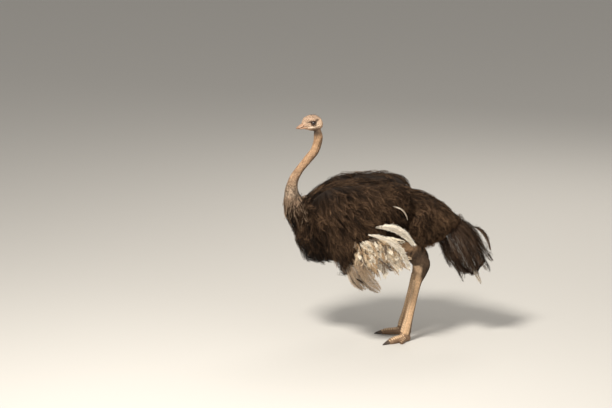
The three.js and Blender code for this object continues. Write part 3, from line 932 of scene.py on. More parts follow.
def painted_jaw_shade(points):
    """How much painted shade each place gets under the jaw, where the neck meets the head."""
    away = ((points - [-624, -20, 1474]) / [46, 200, 34]) ** 2
    return 0.92 * np.exp(-(away.sum(-1) ** 1.4))


def skin_tone(points, chart, t):
    """The colour of each place on the skin, from the chart that it belongs to."""
    mottle = ripple(points, 60, 11)
    fine = ripple(points, 14, 12)
    neck = mixed(
        even_tone((186, 150, 116), points.shape),
        linear((116, 88, 66)),
        np.clip(0.36 + 0.35 * mottle + 0.5 * fine, 0, 1),
    )
    grey, black = neck_shades(points, t)
    # the back of the neck is darker: darker hair along the nape, and painted shade on its back edge
    behind = smooth_step(points[:, 0] - along(NECK, "x", t) + 9 * fine, 4, 26)
    neck = mixed(neck, linear((88, 68, 53)), 0.85 * behind * smooth_step(t, 0.6, 1.6))
    neck = mixed(neck, linear((104, 84, 68)), grey)
    neck = mixed(neck, linear((40, 30, 23)), black)
    # near black skin under the plumage: painted shade for the gaps between the plumes
    body = even_tone((32, 23, 16), points.shape)
    thigh = mixed(
        even_tone((84, 66, 51), points.shape),
        linear((48, 37, 28)),
        np.clip(0.5 + 0.4 * mottle + 0.3 * fine, 0, 1),
    )
    thigh = mixed(thigh, linear((166, 132, 100)), 0.85 * (1 - smooth_step(t + 0.3 * mottle, 2.6, 3.3)))
    ahead = along(LEG, "x", t) - points[:, 0]
    level = t + 0.012 * ahead + 0.2 * ripple(points, 45, 14)
    patch = smooth_step(ahead, -14, 6) * bell((level - 5.8) / 0.62)
    ankle = mixed(thigh, linear((206, 174, 142)), 0.85 * np.clip(patch + 0.25 * fine * patch, 0, 1))
    shank = mixed(
        even_tone((216, 180, 143), points.shape), linear((160, 130, 102)),
        np.clip(0.3 + 0.5 * fine, 0, 1),
    )
    # painted shade down the front and back edges of the shank
    shank_edge_shade = np.maximum(smooth_step(-ahead, 15, 25), 0.7 * smooth_step(ahead, 19, 27))
    shank = mixed(shank, linear((66, 50, 39)), 0.85 * shank_edge_shade)
    shank = mixed(ankle, shank, smooth_step(t + 0.012 * ahead, 6.0, 6.8))
    foot = mixed(
        even_tone((150, 122, 98), points.shape), linear((106, 84, 66)),
        np.clip(0.4 + 0.4 * fine, 0, 1),
    )
    tone = body.copy()
    tone[chart == "neck"] = neck[chart == "neck"]
    leg = np.char.startswith(chart, "leg")
    tone[leg] = shank[leg]
    toes = np.char.find(chart, "toe") >= 0
    tone[toes] = foot[toes]
    return tone


# ------------------------------------------------------------------ places on the skin
class Charts:
    """Sample points of all the skin's charts, to find where on the body any point lies."""

    def __init__(self):
        points, names, t_all, patch, lie = [], [], [], [], []
        charts = skin_charts()
        for number, (name, surface, last, depth, steps, sides) in enumerate(charts):
            t, a = np.meshgrid(
                np.linspace(0.02, 0.98, steps) * last, np.arange(sides) * TURN / sides, indexing="ij"
            )
            t, a = t.ravel(), a.ravel()
            inset = depth(t) if callable(depth) else depth
            here = surface(t, a, inset)
            ahead = unit(surface(np.minimum(t + 0.02, last), a, inset) - here)
            points.append(here)
            names.append(np.full(len(t), name))
            t_all.append(t)
            patch.append(np.stack([(number + 0.05 + 0.9 * t / last) / len(charts), a / TURN], -1))
            lie.append(-ahead if name == "head" else ahead)
        self.points = np.concatenate(points)
        self.names = np.concatenate(names)
        self.t = np.concatenate(t_all)
        self.patch, self.lie = np.concatenate(patch), np.concatenate(lie)
        self.tree = point_tree(self.points)

    def nearest(self, points):
        return nearest_rows(self.tree, points)


def build_skin():
    piece = joined_lofts("skin", [loft_arrays(*chart[1:]) for chart in skin_charts()])
    points = voxel_skin(piece)
    mesh = piece.data
    near = np.linalg.norm(points - HEAD_CENTRE, axis=-1) < 135
    q = into_head(points[near])
    fade = (1 - smooth_step(np.linalg.norm(q, axis=-1), 95, 130))[:, None]
    points[near] = from_head(q + (head_detail(q.copy()) - q) * fade)
    points[:, 2] = np.maximum(points[:, 2], 0.0)
    write_points(mesh, points)
    charts = Charts()
    index = charts.nearest(points)
    chart, t = charts.names[index], charts.t[index]
    tone = skin_tone(points, chart, t)
    q = into_head(points)
    far = np.linalg.norm(q, axis=-1)
    on_head = (1 - smooth_step(far, 78, 104)) * (far < 130)
    tone[far < 130] = mixed(
        tone[far < 130],
        head_tone(q[far < 130]),
        on_head[far < 130],
    )
    # painted shade under the jaw, where the neck meets the head
    tone = mixed(tone, linear((50, 39, 31)), painted_jaw_shade(points))
    give_tone(mesh, tone)
    give(mesh, "lie", "FLOAT_VECTOR", charts.lie[index])
    give(mesh, "patch", "FLOAT2", charts.patch[index])
    neck = chart == "neck"
    down = np.where(neck, 0.5 + 0.5 * smooth_step(t, 3.4, 5.2), 0.0)
    down = np.where(neck & (t > 7.9), 0.0, down)
    down = np.where((chart == "head"), 0.75 * (q[:, 0] < 34), down)
    for side in (-1, 1):
        share = eye_angles(q, side)[1]
        down = np.where((far < 90) & (share < 1.55) & (-side * q[:, 1] > 0), 0.0, down)
    give(mesh, "down", "FLOAT", down)
    long = 0.16 * smooth_step(t, 0.5, 3.0) + 0.2 * smooth_step(t, 3.4, 5.0) + 0.64 * smooth_step(t, 5.0, 7.0)
    give(mesh, "covering", "FLOAT", np.where(neck, long, 0.0))
    return piece


# ------------------------------------------------------------------ plumes
def plume_template(rng, barbs, spread, ragged):
    """Where each barb of one plume leaves the quill, and its middle and tip, as shares of the half width."""
    s = (np.arange(barbs * 2) // 2 + 0.5 + rng.uniform(-0.3, 0.3, barbs * 2)) / barbs
    s = 0.05 + 0.95 * np.clip(s, 0, 1)
    side = np.where(np.arange(barbs * 2) % 2 == 0, 1.0, -1.0)
    reach = np.sin(math.pi * (0.10 + 0.74 * s)) ** 0.6 * (1 + ragged * rng.uniform(-1, 1, len(s)))
    lean = np.radians(spread - 34 * s**2 + 10 * rng.normal(size=len(s)))
    bend = np.radians(rng.uniform(8, 34, len(s)))
    lift = rng.uniform(-0.05, 0.22, len(s))
    droop = rng.uniform(0.05, 0.6, len(s))
    middle = 0.55 * reach[:, None] * np.stack([np.cos(lean), side * np.sin(lean), lift], -1)
    tip = reach[:, None] * np.stack(
        [np.cos(lean - bend), side * np.sin(lean - bend), -droop * reach], -1
    )
    across = np.stack([-side * np.sin(lean), np.cos(lean), 0 * lean], -1) * side[:, None]
    return s, middle, tip, across


def frames_along(spines, ups, s):
    """Places and axes (ahead, across, out of the vane) at the shares s of each plume's quill."""
    last = spines.shape[1] - 1
    i = np.minimum((s * last).astype(int), last - 1)
    f = (s * last - i)[None, :, None]
    place = spines[:, i] * (1 - f) + spines[:, i + 1] * f
    legs = unit(np.diff(spines, axis=1))
    turned = unit(np.concatenate([legs[:, :1], legs[:, :-1] + legs[:, 1:], legs[:, -1:]], 1))
    ahead = unit(turned[:, i] * (1 - f) + turned[:, i + 1] * f)
    out = ups[:, i] * (1 - f) + ups[:, i + 1] * f
    across = unit(np.cross(out, ahead))
    return place, ahead, across, np.cross(ahead, across)


def plumage(name, beds, seed, barbs=18, strand=1.3, spread=38.0, ragged=0.3, quill=0.7,
            shades=(0.58, 1.36), kinds=8):
    """One mesh of many plumes.

    Each bed is a dictionary of arrays for n plumes: spines (n, k, 3), ups (n, k, 3), halves (n),
    tones (n, 3), tips (n, 3) and patches (n, 2). The shades are the darkest and lightest of its barbs.
    """
    rng = np.random.default_rng(seed)
    bed = {key: np.concatenate([b[key] for b in beds]) for key in beds[0]}
    total = len(bed["halves"])
    templates = [plume_template(rng, barbs, spread, ragged) for _ in range(kinds)]
    points, tones, leaves, corners, sizes = [], [], [], [], []
    offset = 0
    for kind, (s, middle, tip, across_barb) in enumerate(templates):
        rows = np.arange(kind, total, kinds)
        if not len(rows):
            continue
        spines, ups = bed["spines"][rows], bed["ups"][rows]
        half = bed["halves"][rows][:, None, None]
        place, ahead, across, out = frames_along(spines, ups, s)

        def carried(v):
            return ahead * v[None, :, :1] + across * v[None, :, 1:2] + out * v[None, :, 2:]

        thin = carried(across_barb)
        base = [place + ahead * strand * k for k in (-0.5, 0.5)]
        swing = 1 + 0.25 * rng.uniform(-1, 1, (len(rows), len(s), 1))
        mid_place = place + carried(middle) * half * swing
        mids = [mid_place + thin * strand * k for k in (-0.62, 0.62)]
        tip_place = place + carried(tip) * half * swing
        barb = np.stack([*base, *mids, tip_place], 2).reshape(len(rows), -1, 3)
        count = len(s)
        start = np.arange(count) * 5
        flip = np.arange(count) % 2 == 1
        quads = np.stack([start, start + 1, start + 3, start + 2], -1)
        tris = np.stack([start + 2, start + 3, start + 4], -1)
        quads[flip] = quads[flip][:, ::-1]
        tris[flip] = tris[flip][:, ::-1]
        # the quill is a narrow strip down the spine
        stops = np.linspace(0, 1, 5)
        q_place, _, q_across, _ = frames_along(spines, ups, stops)
        thin_out = (quill * (1 - 0.8 * stops))[None, :, None]
        strip = np.stack([q_place + q_across * thin_out, q_place - q_across * thin_out], 2)
        strip = strip.reshape(len(rows), -1, 3)
        k = np.arange(4) * 2 + count * 5
        strip_quads = np.stack([k, k + 2, k + 3, k + 1], -1)
        # colours run from the root to the tip of each barb; the darker roots are painted shade deep among the
        # plumes, and on the white plumes also dust
        toward_tip = np.concatenate([np.repeat([[0.15, 0.15, 0.55, 0.55, 1.0]], count, 0).ravel(),
                                     np.repeat(stops * 0.5, 2)])
        along_quill = np.concatenate([np.repeat(s, 5), np.repeat(stops, 2)])
        share = np.clip(toward_tip * 0.5 + along_quill * 0.6, 0, 1) ** 1.5
        root_tone, tip_tone = bed["tones"][rows][:, None], bed["tips"][rows][:, None]
        shade = rng.uniform(*shades, (len(rows), count))
        shade = np.concatenate([np.repeat(shade, 5, 1), np.ones((len(rows), 10))], 1)[..., None]
        tone = (root_tone + (tip_tone - root_tone) * share[None, :, None]) * shade
        side_share = np.concatenate(
            [
                np.stack([0 * s, 0 * s, middle[:, 1], middle[:, 1], tip[:, 1]], -1).ravel(),
                np.tile([0.02, -0.02], 5),
            ]
        )
        along_share = np.clip(along_quill + np.concatenate(
            [np.stack([0 * s, 0 * s, middle[:, 0], middle[:, 0], tip[:, 0]], -1).ravel() * 0.2, np.zeros(10)]
        ), 0, 1.2)
        leaf = np.stack([along_share / 1.2 - 0.5, np.clip(side_share, -1, 1) * 0.5], -1)
        per = count * 5 + 10
        own = np.concatenate([quads.ravel(), strip_quads.ravel(), tris.ravel()])
        shift = (np.arange(len(rows)) * per + offset)[:, None]
        points.append(np.concatenate([barb, strip], 1).reshape(-1, 3))
        tones.append(np.broadcast_to(tone, (len(rows), per, 3)).reshape(-1, 3))
        leaves.append(
            (bed["patches"][rows][:, None] + 0.003 * leaf[None]).reshape(-1, 2)
        )
        corners.append((own[None] + shift).ravel())
        sizes.append(np.tile(np.concatenate([np.full(count + 4, 4), np.full(count, 3)]), len(rows)))
        offset += per * len(rows)
    corners = np.concatenate(corners)
    piece = new_mesh(name, np.concatenate(points), corners, np.concatenate(sizes), checked=False)
    tones = np.concatenate(tones)
    give_tone(piece.data, tones)
    bake = piece.data.uv_layers.new(name="OFBake")
    bake.uv.foreach_set("vector", np.concatenate(leaves)[corners].astype(np.float32).ravel())
    return piece


def scattered(surface, last, depth, count, seed, span_t, span_a, keep=None, trial=(90, 72)):
    """Evenly spread places on a surface: t, a, the point and the normal, thinned by the keep test."""
    t = np.linspace(span_t[0], span_t[1], trial[0])
    a = np.linspace(span_a[0], span_a[1], trial[1])
    tt, aa = np.meshgrid(t, a, indexing="ij")
    inset = depth(tt) if callable(depth) else depth
    p = surface(tt, aa, inset)
    cell = np.linalg.norm(
        np.cross(p[1:, :-1] - p[:-1, :-1], p[:-1, 1:] - p[:-1, :-1]), axis=-1
    )
    rows = np.cumsum(cell.sum(1))
    rows = np.concatenate([[0], rows / rows[-1]])
    i = np.arange(count)
    f = (0.5 + i * 0.7548776662) % 1.0  # the two-dimensional golden sequence
    g = (0.5 + i * 0.5698402910) % 1.0
    rng = np.random.default_rng(seed)
    f = (f + rng.uniform(-0.004, 0.004, count)) % 1
    t_here = np.interp(f, rows, t)
    row = np.clip(np.searchsorted(rows, f) - 1, 0, len(cell) - 1)
    across = np.concatenate([np.zeros((len(cell), 1)), np.cumsum(cell, 1)], 1)
    across /= across[:, -1:]
    a_here = np.array([np.interp(g[k], across[row[k]], a) for k in range(count)])
    inset = depth(t_here) if callable(depth) else depth
    here = surface(t_here, a_here, inset)
    ahead = surface(np.minimum(t_here + 0.02, last), a_here, inset) - surface(
        np.maximum(t_here - 0.02, 0), a_here, inset
    )
    round_it = surface(t_here, a_here + 0.02, inset) - surface(t_here, a_here - 0.02, inset)
    normal = unit(np.cross(ahead, round_it))
    if keep is not None:
        chosen = keep(here, t_here, a_here)
        t_here, a_here, here, normal = (v[chosen] for v in (t_here, a_here, here, normal))
    return t_here, a_here, here, normal


def outwards(here, normal, middle):
    """Turns each normal away from the middle of the part."""
    sign = np.sign(((here - middle) * normal).sum(-1, keepdims=True))
    return normal * np.where(sign == 0, 1, sign)


def combed(skin, here, normal, heading, lengths, rises, sag, rng, steps=6, pull=5.5, roll=30.0, wander=0.2):
    """Spines that start at the skin and follow it along their heading, rising to the coat's full depth."""
    spines, ups = [here.copy()], [normal.copy()]
    place = here.copy()
    up = normal.copy()
    heading = heading + wander * rng.normal(size=heading.shape)
    heading = unit(heading - up * (heading * up).sum(-1, keepdims=True))
    step = (lengths / steps)[:, None]
    curl = wander * 0.5 * rng.normal(size=len(here))[:, None]
    for k in range(1, steps + 1):
        aim = place + heading * step
        found = [skin.find_nearest(p) for p in aim]
        near = np.array([f[0] if f[0] is not None else a for f, a in zip(found, aim)])
        facing = np.array([f[1] if f[1] is not None else u for f, u in zip(found, up)])
        move = near - aim
        far = np.linalg.norm(move, axis=-1, keepdims=True)
        aim = aim + move * np.minimum(1, pull / np.maximum(far, 1e-6))
        up = unit(up + 0.5 * (facing - up))
        place = aim
        share = k / steps
        height = rises[:, None] * (1 - (1 - share) ** 2.2)
        spines.append(place + up * height - np.array([0, 0, 1.0]) * (sag * share**2)[:, None])
        ups.append(up)
        down = np.array([0, 0, -1.0]) * (sag * 0.01)[:, None]
        side = np.cross(up, heading)
        heading = heading + down + side * curl
        heading = unit(heading - up * (heading * up).sum(-1, keepdims=True))
    spines, ups = np.stack(spines, 1), np.stack(ups, 1)
    turn = np.radians(roll) * rng.normal(size=len(here))[:, None, None]
    legs = unit(np.gradient(spines, axis=1))
    sideways = np.cross(legs, ups)
    return spines, unit(ups * np.cos(turn) + sideways * np.sin(turn))


def locked(spines, ups, rng, share=0.26, pull=0.75, curl=9.0, lift=12.0):
    """Draws neighbouring plumes together into locks that wave; returns them and each one's lock."""
    n, stops = spines.shape[:2]
    leaders = rng.choice(n, max(int(n * share), 1), replace=False)
    own = nearest_rows(point_tree(spines[leaders, 1]), spines[:, 1])
    lead, lead_ups = spines[leaders], ups[leaders]
    f = np.linspace(0, 1, stops)[None, :, None]
    m = len(leaders)
    across = np.cross(unit(np.gradient(lead, axis=1)), lead_ups)
    turn = rng.uniform(4.0, 8.5, (m, 1, 1)) * f + rng.uniform(0, TURN, (m, 1, 1))
    lead = lead + across * curl * f * np.sin(turn) * rng.uniform(0.3, 1.3, (m, 1, 1))
    lead = lead + lead_ups * lift * np.sin(turn + 1.2) * f
    f = f[0]
    offset = (spines[:, :1] - lead[own][:, :1]) * (1 - 0.85 * f)
    drawn = spines + (lead[own] + offset - spines) * (pull * f**1.1)
    return drawn, ups, own


def bed_of(spines, ups, halves, tones, tips, patches):
    return {
        "spines": spines,
        "ups": ups,
        "halves": halves,
        "tones": tones,
        "tips": tips,
        "patches": patches,
    }


def strip_patch(t, a, last, number=0, of=1):
    """A root's place on the unwrapped chart, in strip number of several."""
    u = 0.01 + 0.98 * np.asarray(t) / last
    v = 0.01 + 0.98 * ((np.asarray(a) / TURN) % 1.0)
    return np.stack([u, (v + number) / of], -1)


# ------------------------------------------------------------------ settings
class OstrichBody(bpy.types.PropertyGroup):
    """Sizes of the coat that a user may change."""

    plume_length: FloatProperty(
        name="Body plume length",
        description="Length of the black plumes of the back, breast and wings",
        default=0.112, min=0.04, max=0.3, unit="LENGTH",
    )
    plume_half: FloatProperty(
        name="Body plume half width",
        description="How far the barbs of a black plume reach to each side",
        default=0.0155, min=0.005, max=0.08, unit="LENGTH",
    )
    strand: FloatProperty(
        name="Barb width",
        description="Width of one barb of a plume",
        default=0.0017, min=0.0005, max=0.005, unit="LENGTH",
    )
    down_length: FloatProperty(
        name="Down length",
        description="Length of the tufts of down on the neck",
        default=0.012, min=0.004, max=0.04, unit="LENGTH",
    )
    down_density: FloatProperty(
        name="Down density",
        description="Tufts for each square metre where the down is thickest",
        default=80000.0, min=1000.0, max=200000.0,
    )
    seed: IntProperty(
        name="Seed",
        description="Starts the random numbers that lay out the coat",
        default=5, min=0,
    )


class OstrichColours(bpy.types.PropertyGroup):
    """Main colours of the bird, linear."""

    plumage: FloatVectorProperty(
        name="Black plumage",
        description="Colour of the black plumes at their roots",
        subtype="COLOR", size=3, default=tuple(linear((26, 18, 13))), min=0, max=1,
    )
    plumage_tip: FloatVectorProperty(
        name="Black plumage tips",
        description="Colour of the brownest barb tips",
        subtype="COLOR", size=3, default=tuple(linear((142, 111, 85))), min=0, max=1,
    )
    white: FloatVectorProperty(
        name="White plumes",
        description="Colour of the wing's white plumes",
        subtype="COLOR", size=3, default=tuple(linear((250, 242, 228))), min=0, max=1,
    )
    soiled: FloatVectorProperty(
        name="Soiled plumes",
        description="Colour of the dustiest of the white plumes",
        subtype="COLOR", size=3, default=tuple(linear((172, 144, 108))), min=0, max=1,
    )
    bill: FloatVectorProperty(
        name="Bill",
        description="Colour of the bill",
        subtype="COLOR", size=3, default=tuple(linear((168, 132, 106))), min=0, max=1,
    )
    scutes: FloatVectorProperty(
        name="Scutes",
        description="Colour of the plates on the shanks and toes",
        subtype="COLOR", size=3, default=tuple(linear((216, 182, 145))), min=0, max=1,
    )


# ------------------------------------------------------------------ eyes, bill and claws
def grid_arrays(points):
    """Faces over a grid of points (rows, columns, 3) that closes round its columns."""
    rows, columns = points.shape[:2]
    r, c = np.meshgrid(np.arange(rows - 1), np.arange(columns), indexing="ij")
    here, following = r * columns + c, r * columns + (c + 1) % columns
    quads = np.stack([here, following, following + columns, here + columns], -1).reshape(-1, 4)
    return points.reshape(-1, 3), quads


def faced_out(points, quads, middle):
    """Turns the faces of an open sheet away from a middle point."""
    a, b, c, _ = (points[quads[:, i]] for i in range(4))
    facing = (np.cross(b - a, c - a) * (a - middle)).sum()
    return quads if facing > 0 else quads[:, ::-1]


def eyeball(side):
    centre, outwards_axis = eye_frame(side)[:2]
    sides = 64
    off = np.linspace(0, math.pi, 56) ** 1.15 / math.pi**0.15  # closer together over the cornea
    o, p = np.meshgrid(off[1:-1], np.arange(sides) * TURN / sides, indexing="ij")
    radius = EYE_RADIUS + 1.0 * bell(o / 0.55)
    rings = centre + eye_direction(side, o, p) * radius[..., None]
    body, quads = grid_arrays(rings)
    ends = centre + outwards_axis * np.array([[EYE_RADIUS + 1.0], [-EYE_RADIUS]])
    points = np.concatenate([body, ends])
    caps = end_caps(sides, len(body), (len(off) - 3) * sides)
    if signed_volume(points, quads) < 0:
        quads, caps = quads[:, ::-1], caps[:, ::-1]
    angle = np.concatenate([o.ravel(), [0, math.pi]])
    turn = np.concatenate([p.ravel(), [0, 0]])
    streaks = 0.5 + 0.5 * np.sin(turn * 31 + 3 * np.sin(turn * 7))
    iris = mixed(
        even_tone((50, 30, 18), points.shape), linear((86, 52, 28)), 0.5 * streaks
    )
    tone = mixed(iris, linear((6, 5, 4)), 1 - smooth_step(angle, 0.40, 0.44))
    tone = mixed(tone, linear((10, 7, 6)), smooth_step(angle, 0.60, 0.67))
    return points, quads, caps, tone


def eyelids(side):
    """Upper and lower lid: a ring of skin over the eyeball, with a beaded rim and two folds."""
    w = np.array([-0.07, -0.03, 0, 0.03, 0.07, 0.12, 0.17, 0.22, 0.27, 0.32, 0.37, 0.42, 0.48,
                  0.54, 0.60, 0.67, 0.75, 0.84, 0.92, 1.0])
    heights = np.array([-2.2, -0.3, 0.9, 2.3, 2.9, 2.7, 2.1, 1.8, 1.2, 1.5, 2.2, 2.5, 2.1,
                        1.5, 1.6, 1.9, 1.6, 0.9, -0.8, -3.5])
    fine = np.linspace(w[0], w[-1], 46)
    height = np.interp(fine, w, heights)
    psi = np.arange(120) * TURN / 120
    ww, p = np.meshgrid(fine, psi, indexing="ij")
    upper = np.clip(np.sin(p), 0, 1)
    off = opening_radius(p) + ww * (0.62 + 0.06 * upper)
    rim = bell((ww - 0.07) / 0.12)
    radius = EYE_RADIUS + height[:, None] * (0.8 + 0.35 * upper) + rim * 0.5 * upper
    wrinkle = 0.22 * np.sin(p * 38 + 4 * np.sin(p * 5)) * smooth_step(ww, 0.1, 0.3)
    radius = radius + wrinkle * (1 - smooth_step(ww, 0.8, 1.0))
    centre = eye_frame(side)[0]
    points, quads = grid_arrays(centre + eye_direction(side, off, p) * radius[..., None])
    quads = faced_out(points, quads, centre)
    edge = bell(ww / 0.09).ravel()
    tone = head_tone(points)
    tone = mixed(tone, linear((58, 40, 33)), 0.8 * edge)
    return points, quads, np.zeros((0, 3), int), tone


def bill_arrays(table, last, upper):
    points, quads, caps = loft_arrays(head_loft(table, 0.9), last, 0.0, 72, 56, rounded=True)
    q = into_head(points)
    x, z = q[:, 0], q[:, 2]
    tip = smooth_step(x, 94, 116)
    if upper:
        ridge = bell(q[:, 1] / 6.5) * smooth_step(z, -14, -5)
        q[:, 2] += 0.9 * ridge * smooth_step(x, 50, 70) * (1 - 0.6 * tip)
        beside = np.abs(q[:, 1]) > 4
        slot = ((x - 67) / 8.0) ** 2 + ((z + 5.0 + 0.2 * (x - 67)) / 2.0) ** 2
        inward = (3.4 * np.exp(-(slot**2)) * beside)[:, None]
        q -= inward * np.stack([0 * x, np.sign(q[:, 1]), 0.3 + 0 * x], -1)
        lip = bell((slot - 1.9) / 0.8) * beside
        q[:, 1] += 0.5 * lip * np.sign(q[:, 1])
        nail = bell((x - 98) / 1.6) * smooth_step(z, -21, -14)
        q[:, 2] -= 0.7 * nail
        # painted shade in the nostril slot
        dark = np.exp(-(slot**1.5)) * beside
    else:
        groove = bell((x - 94) / 1.6) * smooth_step(-z, 22, 28)
        q[:, 2] += 0.6 * groove
        dark = np.zeros(len(q))
    colours = settings()[1]
    tone = np.broadcast_to(np.array(colours.bill), q.shape)
    tone = mixed(tone, linear((112, 86, 68)), 0.6 * tip)
    tone = mixed(tone, linear((196, 160, 130)), 0.5 * smooth_step(-x, -66, -46))
    edge = -16 - 8 * smooth_step(x, 66, 113)
    tone = mixed(tone, linear((104, 72, 56)), 0.55 * bell((z - edge) / 2.0))
    # painted shade in the nostril slot
    tone = mixed(tone, linear((44, 28, 22)), 0.9 * dark)
    return from_head(q), quads, caps, tone


def toned_lofts(name, parts):
    """One piece from several closed bodies that bring their colours."""
    piece = joined_lofts(name, [part[:3] for part in parts])
    tone = np.concatenate([part[3] for part in parts])
    give_tone(piece.data, tone)
    return piece


def claw_arrays(side):
    points, quads, caps = loft_arrays(toe_surface(side, CLAW, 0), 4, 0.3, 44, 32, rounded=True)
    points[:, 2] = np.maximum(points[:, 2], 0.2)
    f = np.linspace(0, 1, 45)
    far = np.repeat((1 - np.cos(math.pi * f)) / 2, 32)
    far = np.concatenate([far, [0, 1]])
    tone = mixed(
        even_tone((104, 84, 68), points.shape), linear((52, 42, 35)), smooth_step(far, 0.1, 0.7)
    )
    return points, quads, caps, tone


# ------------------------------------------------------------------ node trees
def node_group(name, inputs):
    """A Geometry Nodes tree with a geometry input and output and the named inputs."""
    tree = bpy.data.node_groups.new(name, "GeometryNodeTree")
    tree.interface.new_socket("Geometry", in_out="INPUT", socket_type="NodeSocketGeometry")
    for label, kind in inputs:
        tree.interface.new_socket(label, in_out="INPUT", socket_type="NodeSocket" + kind)
    tree.interface.new_socket("Geometry", in_out="OUTPUT", socket_type="NodeSocketGeometry")
    entry = tree.nodes.new("NodeGroupInput")
    leave = tree.nodes.new("NodeGroupOutput")
    return tree, entry.outputs, leave


def product(tree, one, other):
    return add_node(tree, "ShaderNodeMath", {0: one, 1: other}, operation="MULTIPLY").outputs["Value"]


def attribute_of(tree, name, kind):
    return add_node(tree, "GeometryNodeInputNamedAttribute", {"Name": name}, data_type=kind)


def grown(piece, tree, values, name):
    """Runs a tree on a copy of the piece's mesh and returns the result as a plain mesh object."""
    host = add_object(name, piece.data)
    modifier = host.modifiers.new("Grow", "NODES")
    modifier.node_group = tree
    for item in tree.interface.items_tree:
        if item.item_type == "SOCKET" and item.in_out == "INPUT" and item.name in values:
            modifier[item.identifier] = values[item.name]
    result = as_modified(host)
    host.modifiers.clear()
    host.data = result
    result.name = name
    return host


def random_node(tree, low, high, seed, kind="FLOAT"):
    """A random value for each element, between two numbers."""
    made = tree.nodes.new("FunctionNodeRandomValue")
    made.data_type = kind
    for socket in made.inputs:
        if not socket.enabled:
            continue
        if socket.name == "Min":
            socket.default_value = low
        elif socket.name == "Max":
            socket.default_value = high
        elif socket.name == "Seed":
            if isinstance(seed, bpy.types.NodeSocket):
                tree.links.new(seed, socket)
            else:
                socket.default_value = seed
    return next(s for s in made.outputs if s.enabled)


def aligned(tree, axis, vector, rotation=None, pivot="AUTO"):
    values = {"Vector": vector}
    if rotation is not None:
        values["Rotation"] = rotation
    made = add_node(tree, "FunctionNodeAlignRotationToVector", values, axis=axis, pivot_axis=pivot)
    return made.outputs["Rotation"]


def real_copies(tree, source, points, rotation, scale):
    """Copies of an object on the points, made real."""
    shape = add_node(tree, "GeometryNodeObjectInfo", {"Object": source})
    placed = add_node(
        tree,
        "GeometryNodeInstanceOnPoints",
        {
            "Points": points,
            "Instance": shape.outputs["Geometry"],
            "Rotation": rotation,
            "Scale": scale,
        },
    )
    real = add_node(
        tree, "GeometryNodeRealizeInstances", {"Geometry": placed.outputs["Instances"]}
    )
    return real.outputs["Geometry"]


def closed_tree(tree, geometry, given, leave):
    """Sets the tree's material on its geometry and ends the tree there."""
    last = add_node(
        tree, "GeometryNodeSetMaterial", {"Geometry": geometry, "Material": given["Material"]}
    )
    tree.links.new(last.outputs["Geometry"], leave.inputs["Geometry"])
    return tree


def down_tree():
    """Tufts scattered over a skin by its "down" attribute, laid along its "lie" attribute."""
    tree, given, leave = node_group(
        "Neck down",
        [("Density", "Float"), ("Length", "Float"), ("Seed", "Int"), ("Tuft", "Object"),
         ("Material", "Material")],
    )
    thick = attribute_of(tree, "down", "FLOAT").outputs["Attribute"]
    density = product(tree, thick, given["Density"])
    spread = add_node(
        tree,
        "GeometryNodeDistributePointsOnFaces",
        {"Mesh": given["Geometry"], "Density": density, "Seed": given["Seed"]},
    )
    lie = attribute_of(tree, "lie", "FLOAT_VECTOR").outputs["Attribute"]
    wander = random_node(tree, (-0.28, -0.28, -0.28), (0.28, 0.28, 0.28), given["Seed"], "FLOAT_VECTOR")
    heading = add_node(
        tree, "ShaderNodeVectorMath", {0: lie, 1: wander}, operation="ADD"
    ).outputs["Vector"]
    upright = aligned(tree, "Z", spread.outputs["Normal"])
    turned = aligned(tree, "X", heading, upright, "Z")
    covering = attribute_of(tree, "covering", "FLOAT").outputs["Attribute"]
    size = add_node(
        tree,
        "ShaderNodeMapRange",
        {"Value": covering, "To Min": 0.3, "To Max": 2.1},
    ).outputs["Result"]
    varied = random_node(tree, 0.65, 1.35, given["Seed"])
    long = product(tree, product(tree, size, varied), given["Length"])
    real = real_copies(tree, given["Tuft"], spread.outputs["Points"], turned, long)
    leaf = attribute_of(tree, "leaf", "FLOAT_VECTOR").outputs["Attribute"]
    patch = attribute_of(tree, "patch", "FLOAT_VECTOR").outputs["Attribute"]
    small = add_node(
        tree, "ShaderNodeVectorMath", {0: leaf, "Scale": 0.003}, operation="SCALE"
    ).outputs["Vector"]
    chart = add_node(
        tree, "ShaderNodeVectorMath", {0: patch, 1: small}, operation="ADD"
    ).outputs["Vector"]
    stored = add_node(
        tree,
        "GeometryNodeStoreNamedAttribute",
        {"Geometry": real, "Name": "OFBake", "Value": chart},
        data_type="FLOAT2",
        domain="CORNER",
    )
    return closed_tree(tree, stored.outputs["Geometry"], given, leave)


def tuft_object():
    """One tuft of down of unit length: four bent barbs that lie along +X and rise a little."""
    rng = np.random.default_rng(3)
    points, faces, leaf = [], [], []
    for k in range(4):
        turn = math.radians((k - 1.5) * 17 + rng.uniform(-5, 5))
        long = rng.uniform(0.7, 1.1)
        rise = rng.uniform(0.14, 0.4)
        ahead = np.array([math.cos(turn), math.sin(turn), 0])
        across = np.array([-ahead[1], ahead[0], 0])
        start = len(points)
        for share, half in ((0, 0.025), (0.5, 0.036)):
            height = rise * share * (1.6 - share)
            for s in (-1, 1):
                points.append(ahead * long * share + across * half * s + np.array([0, 0, height]))
                leaf.append((share - 0.5, 0.2 * (k - 1.5) + 0.05 * s, 0))
        points.append(ahead * long + np.array([0, 0, rise * 0.62]))
        leaf.append((0.5, 0.2 * (k - 1.5), 0))
        faces.append([start + 1, start + 3, start + 2, start])
        faces.append([start + 3, start + 4, start + 2])
    mesh = bpy.data.meshes.new("tuft")
    mesh.from_pydata([tuple(p) for p in points], [], faces)
    give(mesh, "leaf", "FLOAT_VECTOR", np.array(leaf))
    return add_object("tuft", mesh)


